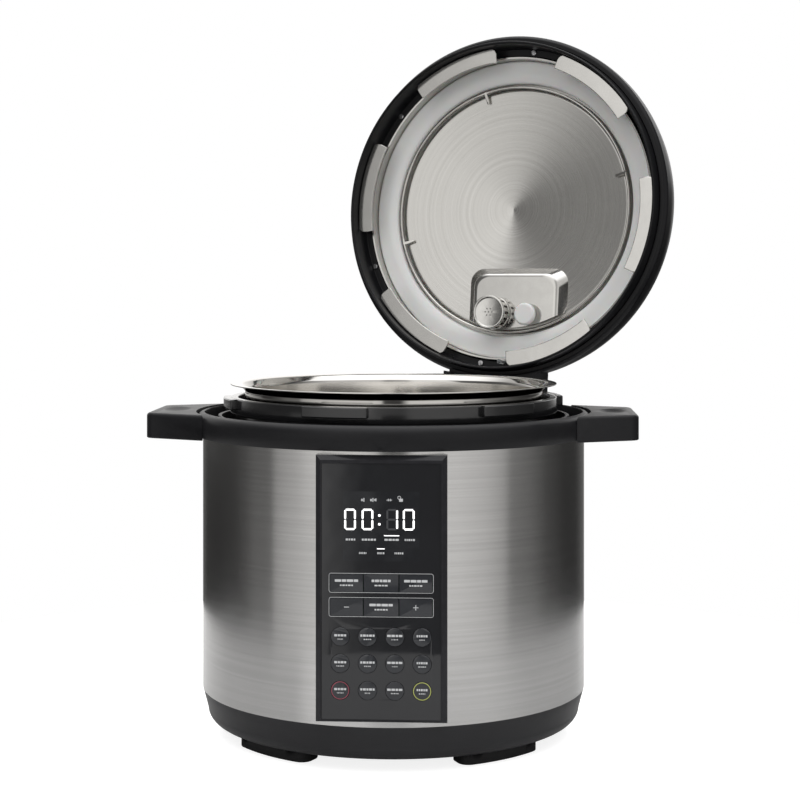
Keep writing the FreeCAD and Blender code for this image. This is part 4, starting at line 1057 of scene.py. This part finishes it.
class COOKER_OT_keys(PieceOperator):
    """Twelve round keys and six bar keys with their legends"""
    bl_idname = "cooker.keys"
    bl_label = "Keys"

    def build(self, context):
        relief = context.scene.cooker_sizes.legend_relief / MM
        for row in ROUND_KEYS + BAR_KEYS:
            for key in row:
                finished_copy(f"{key}_key", f"moulded_{key}_key", f"{key}_key")
        for row, names in enumerate(ROUND_KEYS):
            for column, key in enumerate(names):
                self.round_legend(key, row * 4 + column, relief)
        for row, names in enumerate(BAR_KEYS):
            for column, key in enumerate(names):
                self.bar_legend(key, row * 3 + column, relief)

    def place(self, key):
        """The middle of a key's face, in millimetres."""
        low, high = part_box(f"{key}_key")
        return (low.x + high.x) / 2 / MM, (low.z + high.z) / 2 / MM, -low.y / MM

    def round_legend(self, key, index, relief):
        x, z, front = self.place(key)
        rings = {"cancel": (ring_red, 0.5), "start": (ring_green, 0.5)}
        word_width = (8.2, 9.8, 10.4, 7.4)[index % 4]
        second_width = (3.6, 5.2, 4.4)[index % 3]
        marks = dashes(f"{key}_word", x, z + 0.9, word_width, 1.5, front, relief, index)
        marks += dashes(f"{key}_second", x, z - 1.7, second_width, 0.8, front, relief, index + 1)
        finish(joined(marks, f"{key}_legend"), f"{key}_key", made_once("legend_white", legend_white))
        if key in rings:
            maker, line = rings[key]
            ring = face_ring(f"{key}_ring", x, z, 5.9, line, front, relief)
            finish(ring, f"{key}_key", made_once(maker.__name__, maker))

    def bar_legend(self, key, index, relief):
        x, z, front = self.place(key)
        if key == "minus":
            marks = [face_plate("minus_sign", x, z, 3.4, 0.5, front, relief)]
        elif key == "plus":
            marks = [face_plate("plus_sign", x, z, 3.6, 0.5, front, relief),
                     face_plate("plus_stroke", x, z, 0.5, 3.6, front, relief)]
        else:
            marks = dashes(f"{key}_word", x, z + 1.6, 13 if index % 2 else 16, 1.7, front, relief, index)
            marks += dashes(f"{key}_second", x, z - 1.6, 9, 1.0, front, relief, index + 1)
        finish(joined(marks, f"{key}_legend"), f"{key}_key", made_once("legend_white", legend_white))


# ---------------------------------------------------------------- lid and hinge

class COOKER_OT_hinge(PieceOperator):
    """Hinge carrier that slides round the collar"""
    bl_idname = "cooker.hinge"
    bl_label = "Hinge"

    def build(self, context):
        finished_copy("hinge_carrier", "moulded_carrier", "carrier")
        finished_copy("hinge_pin", "turned_hinge_pin", "carrier")
        finished_copy("hinge_springs", "wound_hinge_springs", "carrier", angle=60)


class COOKER_OT_lid_shell(PieceOperator):
    """Lid shell, its inner liner, the grip and the steam knob"""
    bl_idname = "cooker.lid_shell"
    bl_label = "Lid shell"

    def build(self, context):
        self.dome()
        liner = turned("moulded_lid_liner", [
            (140, 231, 0.3), (140.8, 230, 0.4), (142, 230, 0.4), (142.4, 230.6, 0.2), (143.1, 238.5, 0.6),
            (143.2, 257.2), (134.2, 257.2, 0.4), (134.2, 255, 0.4), (140, 255, 0.8)], steps=216, segments=3)
        smooth(liner, 30)
        swung(liner)
        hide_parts("lid_liner")
        finish(liner, "lid", slot_material(node_slot("lid_liner")))
        finished_copy("lid_grip", "moulded_lid_grip", "lid", bevel=1.2)
        finished_copy("steam_knob", "moulded_steam_knob", "knob", bevel=0.6)
        finished_copy("lid_catch_pin", "moulded_catch_pin", "lid")
        finished_copy("lid_screws", "plated_lid_screws", "lid")


    def dome(self):
        """Domed moulding with its hinge bracket, knuckle and the posts for the liner's screws."""
        wall, inside, bottom = LID_WALL_RADIUS, LID_WALL_RADIUS - LID_SHEET, LID_TOP - LID_SHEET
        over = [(CROWN_EDGE * step / 6, LID_TOP - CROWN_DROP * (step / 6) ** 2)
                for step in range(5, -1, -1)]
        under = [((CROWN_EDGE - 1) * step / 6, bottom - 8.2 * (step / 6) ** 2) for step in range(6)]
        dome = turned("moulded_lid_shell", [
            (143.6, 241, 0.3), (147.2, 241.3, 0.8), (wall, 243.7, 1.4), (wall, 256, 4), (145.4, 274, 6),
            (CROWN_EDGE, LID_TOP - CROWN_DROP, 3), *over, *under, (CROWN_EDGE - 1, 281.4, 3),
            (143.4, 272.8, 5), (inside, 256, 3), (inside, 243.5), (143.6, 243.2)], steps=216, segments=4)
        arm = block("bracket", (-43, 43), (120, 167), (HINGE_UP, 258))
        carve(arm, [rod("under_cutter", COLLAR_RADIUS + 0.7, (0, 0, 230.95), 21.9, steps=216),
                    rod("inside_cutter", inside + 0.2, (0, 0, 250), 60, steps=216)])
        web = block("web", (-30, 30), (160, HINGE_OUT), (HINGE_UP, HINGE_UP + 7))
        knuckle = rod("knuckle", 7, (0, HINGE_OUT, HINGE_UP), 60, "X")
        carve(arm, [web, knuckle], "UNION")
        round_edges(arm, 0.5, 2)
        carve(arm, [rod("pin_bore", 3.05, (0, HINGE_OUT, HINGE_UP), 120, "X")])
        carve(dome, [arm], "UNION")
        carve(dome, [rod("vent_hole", 6, (*VENT_SPOT, 285), 30),
                     rod("float_hole", 3.6, (*FLOAT_SPOT, 285), 30)])
        posts = []
        for index in range(6):
            turn = math.radians(CLAW_TURN + 30 + 60 * index)
            spot = (SCREW_CIRCLE * math.cos(turn), SCREW_CIRCLE * math.sin(turn), 266.4)
            posts.append(rod(f"lid_post_{index}", 4, spot, 18, steps=32))
        dome = joined([dome, *posts], "moulded_lid_shell")
        smooth(dome, 28, weighted=True)
        swung(dome)
        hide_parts("lid_shell")
        finish(dome, "lid", slot_material(node_slot("lid_shell")))


class COOKER_OT_steel_lid(PieceOperator):
    """Spun inner lid: dished sheet, seal channel, skirt and six locking claws"""
    bl_idname = "cooker.steel_lid"
    bl_label = "Steel lid"

    def build(self, context):
        sheet = turned("spun_lid_sheet", [
            (0, DISC_LOW), (60, DISC_LOW), (104, DISC_LOW), (106, DISC_LOW, 1.2), (109, 273.5, 1.2),
            (131.4, 273.5, 1.6), (131.4, 252.6), (132.8, 252.6), (132.8, 274.9, 2.4), (108, 274.9, 1.2),
            (105, 269.4, 1.2), (0, 269.4)], steps=216, segments=3)
        wrap_round(sheet)
        swung(sheet)
        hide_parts("steel_lid")
        finish(sheet, "lid", made_once("lid_steel", lid_steel))
        claws = []
        for index in range(6):
            claws.append(self.claw(index, CLAW_TURN + 60 * index))
        claws = joined(claws, "locking_claws")
        smooth(claws, 35)
        swung(claws)
        finish(claws, "lid", made_once("formed_steel", formed_steel))

    def claw(self, index, azimuth):
        """One claw: a rounded plate on a web that drops from the skirt."""
        plate = turned(f"claw_plate_{index}", [(126.2, 240), (139.2, 240), (139.2, 242.2), (126.2, 242.2)],
                       steps=20, span=CLAW_SPAN, azimuth=azimuth)
        enter(plate, "EDGE")
        choose(lambda a, b: abs(a.z - b.z) > 1.5 * MM and a.xy.length > 139 * MM
               and CLAW_SPAN / 2 - abs(self.turn(a, azimuth)) < 0.2, "EDGE")
        bpy.ops.mesh.bevel(offset=6 * MM, segments=6)
        leave()
        web = turned(f"claw_web_{index}", [
            (132.2, 253), (137.4, 249.5, 1), (137.4, 241.2), (139.1, 241.2), (139.1, 250.4, 1.4),
            (132.2, 254.7)], steps=16, span=CLAW_WEB_SPAN, azimuth=azimuth)
        round_edges(web, 0.5, 2)
        round_edges(plate, 0.6, 2)
        return joined([plate, web], f"claw_{index}")

    def turn(self, co, azimuth):
        """A point's angle from an azimuth, in degrees from -180 to 180."""
        return (math.degrees(math.atan2(co.y, co.x)) - azimuth + 180) % 360 - 180


class COOKER_OT_seal(PieceOperator):
    """Silicone seal and the wire rack that holds it"""
    bl_idname = "cooker.seal"
    bl_label = "Seal"

    def build(self, context):
        seal = turned("silicone_seal", [
            (111.4, 266.2, 0.4), (112, 263.4, 1.6), (118, 261.4, 2.4), (130, 261.4, 1.2),
            (131.1, 262.6, 0.8), (131.1, 273.2, 0.8), (121, 273.2, 0.8), (121, 266.8, 0.8),
            (112, 267.4, 0.4)], steps=192, segments=4)
        swung(seal)
        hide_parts("seal_ring")
        finish(seal, "lid", slot_material("white_silicone"))
        finished_copy("seal_rack", "wire_seal_rack", "lid", angle=60)


class COOKER_OT_valves(PieceOperator):
    """Raised valve plate, vent guard, stem, float valve and its cap"""
    bl_idname = "cooker.valves"
    bl_label = "Valves"

    def build(self, context):
        bright = made_once("formed_steel", formed_steel)
        self.valve_plate(bright)
        self.vent_guard(bright)
        finished_copy("vent_stem", "turned_vent_stem", "lid")
        finished_copy("float_valve", "turned_float_valve", "float")
        finished_copy("float_cap", "silicone_float_cap", "float", bevel=0.4)

    def vent_guard(self, bright):
        """The cup over the vent: a rim round a sunk face, slots in its side, and its hub."""
        cup = turned("slotted_vent_guard", [
            (0, 246), (12.3, 246, 0.5), (12.8, 245, 0.3), (14.5, 245, 0.6), (14.5, 247.6, 0.2),
            (14, 248, 0.2), (14, 257, 0.2), (14.5, 257.4, 0.2), (14.5, 259.6), (13.2, 259.6),
            (13.2, 247.2), (0, 247.2)], steps=96, segments=3)
        slots = []
        for index in range(16):
            slot = block("slot_cutter", (11, 17), (-1.1, 1.1), (249.2, 256))
            slot.data.transform(Matrix.Rotation(math.radians(22.5 * index), 4, "Z"))
            slots.append(slot)
        for index in range(7):
            spread = min(index, 1) * 3.2
            slot = block("hole_cutter", (spread - 0.5, spread + 0.5), (-0.5, 0.5), (244, 250))
            slot.data.transform(Matrix.Rotation(math.radians(60 * index), 4, "Z"))
            slots.append(slot)
        carve(cup, slots)
        smooth(cup, 35)
        hub = turned("guard_hub", [(5.2, 247.2), (7.4, 247.2), (7.4, 257.6, 0.4), (5.2, 257.6, 0.4)],
                     steps=48, segments=2)
        guard = joined([cup, hub], "slotted_vent_guard")
        guard.data.transform(Matrix.Translation((VENT_SPOT[0] * MM, VENT_SPOT[1] * MM, 0)))
        swung(guard)
        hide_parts("vent_guard")
        finish(guard, "lid", bright)

    def valve_plate(self, bright):
        """The raised plate: a tapered block with soft corners, bounded by the sheet's rim."""
        plate = block("formed_valve_plate", (-38, 54), (52, 112), (260, DISC_LOW))
        enter(plate, "FACE")
        choose(lambda middle, normal: normal.z < -0.9, "FACE")
        bpy.ops.transform.resize(value=(77 / 92, 1, 1), center_override=(8 * MM, 112 * MM, 0))
        bpy.ops.transform.resize(value=(1, 54 / 60, 1), center_override=(8 * MM, 112 * MM, 0))
        choose(lambda a, b: abs(a.z - b.z) > 5 * MM and a.y < 80 * MM, "EDGE")
        bpy.ops.mesh.bevel(offset=11 * MM, segments=8)
        choose(lambda a, b: max(a.z, b.z) < 260.1 * MM and min(a.y, b.y) < 111 * MM, "EDGE")
        bpy.ops.mesh.bevel(offset=2.6 * MM, segments=5)
        leave()
        carve(plate, [rod("bound", 104.6, (0, 0, 264), 20, steps=192)], "INTERSECT")
        smooth(plate, 40, weighted=True)
        swung(plate)
        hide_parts("valve_plate")
        finish(plate, "lid", bright)


class COOKER_OT_inner_parts(PieceOperator):
    """Finishes for the parts that stay as the CAD model has them"""
    bl_idname = "cooker.inner_parts"
    bl_label = "Inner parts"

    def build(self, context):
        self.thermostat_spring()
        for node, piece in frame["nodes"].items():
            material = slot_material(node_slot(node))
            for index in range(max(1, len(piece.material_slots))):
                if len(piece.data.materials) <= index:
                    piece.data.materials.append(material)
                else:
                    piece.material_slots[index].material = material


    def thermostat_spring(self):
        """The spring under the sensor, as a copy with a mesh of its own; on the real cooker it shortens as the pot
        presses the sensor down.
        """
        spring = finished_copy("thermostat_spring", "wound_thermostat_spring", "base", angle=60)
        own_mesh(spring)


# ---------------------------------------------------------------- studio

# Brightness of the studio at azimuths from -180 to 180 degrees, where 0 is in front.
STUDIO_BAND = (
    (-180, 0.5), (-164, 0.13), (-145, 0.035), (-125, 0.03), (-104, 0.05), (-93, 0.1), (-87, 0.16),
    (-73, 0.18), (-70, 0.45), (-60, 0.6), (-47, 0.7), (-29, 0.78), (-14, 0.8), (-8, 0.75), (-5.2, 0.7),
    (-4.4, 0.06), (9, 0.05), (15, 0.8), (39, 0.84), (58, 0.66), (71, 0.46), (76, 0.22), (90, 0.18),
    (106, 0.08), (125, 0.04), (143, 0.04), (164, 0.13), (180, 0.5),
)


# The same for whatever is above the horizon: the open lid's sheet and the tops see this.
UPPER_BAND = (
    (-180, 1.3), (-145, 0.8), (-112, 0.16), (-85, 0.1), (-56, 0.16), (-46, 1.0), (-14, 1.05), (-8, 0.6),
    (9, 0.4), (15, 0.8), (60, 0.7), (90, 0.2), (118, 0.1), (140, 0.12), (160, 0.7), (180, 1.3),
)


def band_ramp(tree, along, band):
    """A ramp that gives the studio's brightness at a share of the whole turn."""
    ramp = add_node(tree, "ShaderNodeValToRGB")
    elements = ramp.color_ramp.elements
    for angle, level in band:
        ends = {-180: elements[0], 180: elements[-1]}
        spot = ends.get(angle) or elements.new((angle + 180) / 360)
        spot.color = (level, level * 0.99, level * 0.975, 1)
    tree.links.new(along, ramp.inputs[0])
    return ramp.outputs["Color"]


def rise(tree, value, low, high, start=0.0, end=1.0):
    """A smooth change from start to end while the value goes from low to high."""
    step = add_node(tree, "ShaderNodeMapRange", interpolation_type="SMOOTHSTEP")
    for label, number in (("From Min", low), ("From Max", high), ("To Min", start), ("To Max", end)):
        step.inputs[label].default_value = number
    tree.links.new(value, step.inputs["Value"])
    return step.outputs["Result"]


def studio_world(context):
    """White behind the cooker, and soft boxes with dark gaps for everything that reflects."""
    world = bpy.data.worlds.new("studio")
    context.scene.world = world
    world.use_nodes = True
    tree = world.node_tree
    tree.nodes.clear()
    way = add_node(tree, "ShaderNodeSeparateXYZ")
    tree.links.new(add_node(tree, "ShaderNodeTexCoord").outputs["Generated"], way.inputs[0])
    back = math_node(tree, "MULTIPLY", way.outputs[1], -1.0)
    azimuth = math_node(tree, "ARCTAN2", way.outputs[0], back)
    along = math_node(tree, "ADD", math_node(tree, "DIVIDE", azimuth, 2 * math.pi), 0.5)
    up = way.outputs[2]
    level = band_ramp(tree, along, STUDIO_BAND)
    level = mix_colors(tree, 1.0, level, rise(tree, up, -0.5, -0.3, 0.04, 1.0), "MULTIPLY")
    level = mix_colors(tree, rise(tree, up, -0.09, 0.0), level, band_ramp(tree, along, UPPER_BAND))
    above = mix_colors(tree, rise(tree, up, 0.6, 0.85), level, (1.7, 1.7, 1.71, 1))
    studio = add_node(tree, "ShaderNodeBackground")
    studio.inputs["Strength"].default_value = context.scene.cooker_finish.studio_level
    tree.links.new(above, studio.inputs["Color"])
    plain = add_node(tree, "ShaderNodeBackground")
    plain.inputs["Color"].default_value = (*context.scene.cooker_finish.backdrop, 1)
    chooser = add_node(tree, "ShaderNodeMixShader")
    tree.links.new(add_node(tree, "ShaderNodeLightPath").outputs["Is Camera Ray"], chooser.inputs[0])
    tree.links.new(studio.outputs[0], chooser.inputs[1])
    tree.links.new(plain.outputs[0], chooser.inputs[2])
    tree.links.new(chooser.outputs[0], add_node(tree, "ShaderNodeOutputWorld").inputs[0])


def studio_floor():
    """A pale polished round table that ends a little beyond the cooker."""
    drop_selection()
    bpy.ops.mesh.primitive_circle_add(vertices=128, radius=0.55, fill_type="NGON")
    floor = bpy.context.object
    floor.name = "studio_table"
    look = Finish("table_white", (0.62, 0.62, 0.62), 0.1)
    look.shader.inputs["Emission Color"].default_value = (1, 1, 1, 1)
    seen = add_node(look.tree, "ShaderNodeLightPath").outputs["Is Camera Ray"]
    glow = math_node(look.tree, "ADD", math_node(look.tree, "MULTIPLY", seen, 0.8), 0.04)
    look.tree.links.new(glow, look.shader.inputs["Emission Strength"])
    floor.data.materials.append(look.material)


def soft_box(name, place, target, width, height, power):
    """An area lamp that looks at a target; sizes in metres, power in watts."""
    drop_selection()
    bpy.ops.object.light_add(type="AREA", location=place)
    lamp = bpy.context.object
    lamp.name = name
    lamp.data.shape = "RECTANGLE"
    lamp.data.size = width
    lamp.data.size_y = height
    lamp.data.energy = power
    lamp.rotation_euler = (Vector(target) - Vector(place)).to_track_quat("-Z", "Y").to_euler()


class COOKER_OT_stage(PieceOperator):
    """Table, soft boxes, world and camera"""
    bl_idname = "cooker.stage"
    bl_label = "Stage"

    def build(self, context):
        context.scene.view_settings.view_transform = "Standard"
        studio_world(context)
        studio_floor()
        soft_box("top_box", (0, 0.1, 1.7), (0, 0, 0.2), 1.2, 1.0, 2.2)
        soft_box("back_box", (0.9, 1.3, 0.9), (0, 0.1, 0.3), 0.7, 0.7, 1.0)
        bpy.ops.object.camera_add(location=CAMERA_PLACE,
                                  rotation=(math.radians(90), 0, math.radians(CAMERA_TURN)))
        camera = bpy.context.object
        camera.name = "studio_camera"
        camera.data.lens = CAMERA_LENS
        camera.data.sensor_width = CAMERA_SENSOR
        camera.data.shift_x, camera.data.shift_y = CAMERA_SHIFT
        context.scene.camera = camera


# ---------------------------------------------------------------- add-on

STEPS = (
    COOKER_OT_stage, COOKER_OT_base, COOKER_OT_handles, COOKER_OT_shell, COOKER_OT_pots, COOKER_OT_cup,
    COOKER_OT_panel, COOKER_OT_keys, COOKER_OT_hinge, COOKER_OT_lid_shell, COOKER_OT_steel_lid,
    COOKER_OT_seal, COOKER_OT_valves, COOKER_OT_inner_parts,
)


class COOKER_PT_panel(bpy.types.Panel):
    """Lists the sizes, the finishes and the building steps"""
    bl_idname = "COOKER_PT_panel"
    bl_label = "Pressure cooker"
    bl_space_type = "VIEW_3D"
    bl_region_type = "UI"
    bl_category = "Cooker"

    def draw(self, context):
        for group in (context.scene.cooker_sizes, context.scene.cooker_finish):
            for label in group.bl_rna.properties.keys():
                if label not in ("rna_type", "name"):
                    self.layout.prop(group, label)
        for step in STEPS:
            self.layout.operator(step.bl_idname)


CLASSES = (CookerSizes, CookerFinish, *STEPS, COOKER_PT_panel)


def register():
    for made in CLASSES:
        bpy.utils.register_class(made)
    bpy.types.Scene.cooker_sizes = bpy.props.PointerProperty(type=CookerSizes)
    bpy.types.Scene.cooker_finish = bpy.props.PointerProperty(type=CookerFinish)


def unregister():
    del bpy.types.Scene.cooker_sizes
    del bpy.types.Scene.cooker_finish
    for made in reversed(CLASSES):
        bpy.utils.unregister_class(made)


def main():
    register()
    for step in STEPS:
        group, name = step.bl_idname.split(".")
        getattr(getattr(bpy.ops, group), name)()
    drop_selection()


if __name__ == "__main__":
    main()
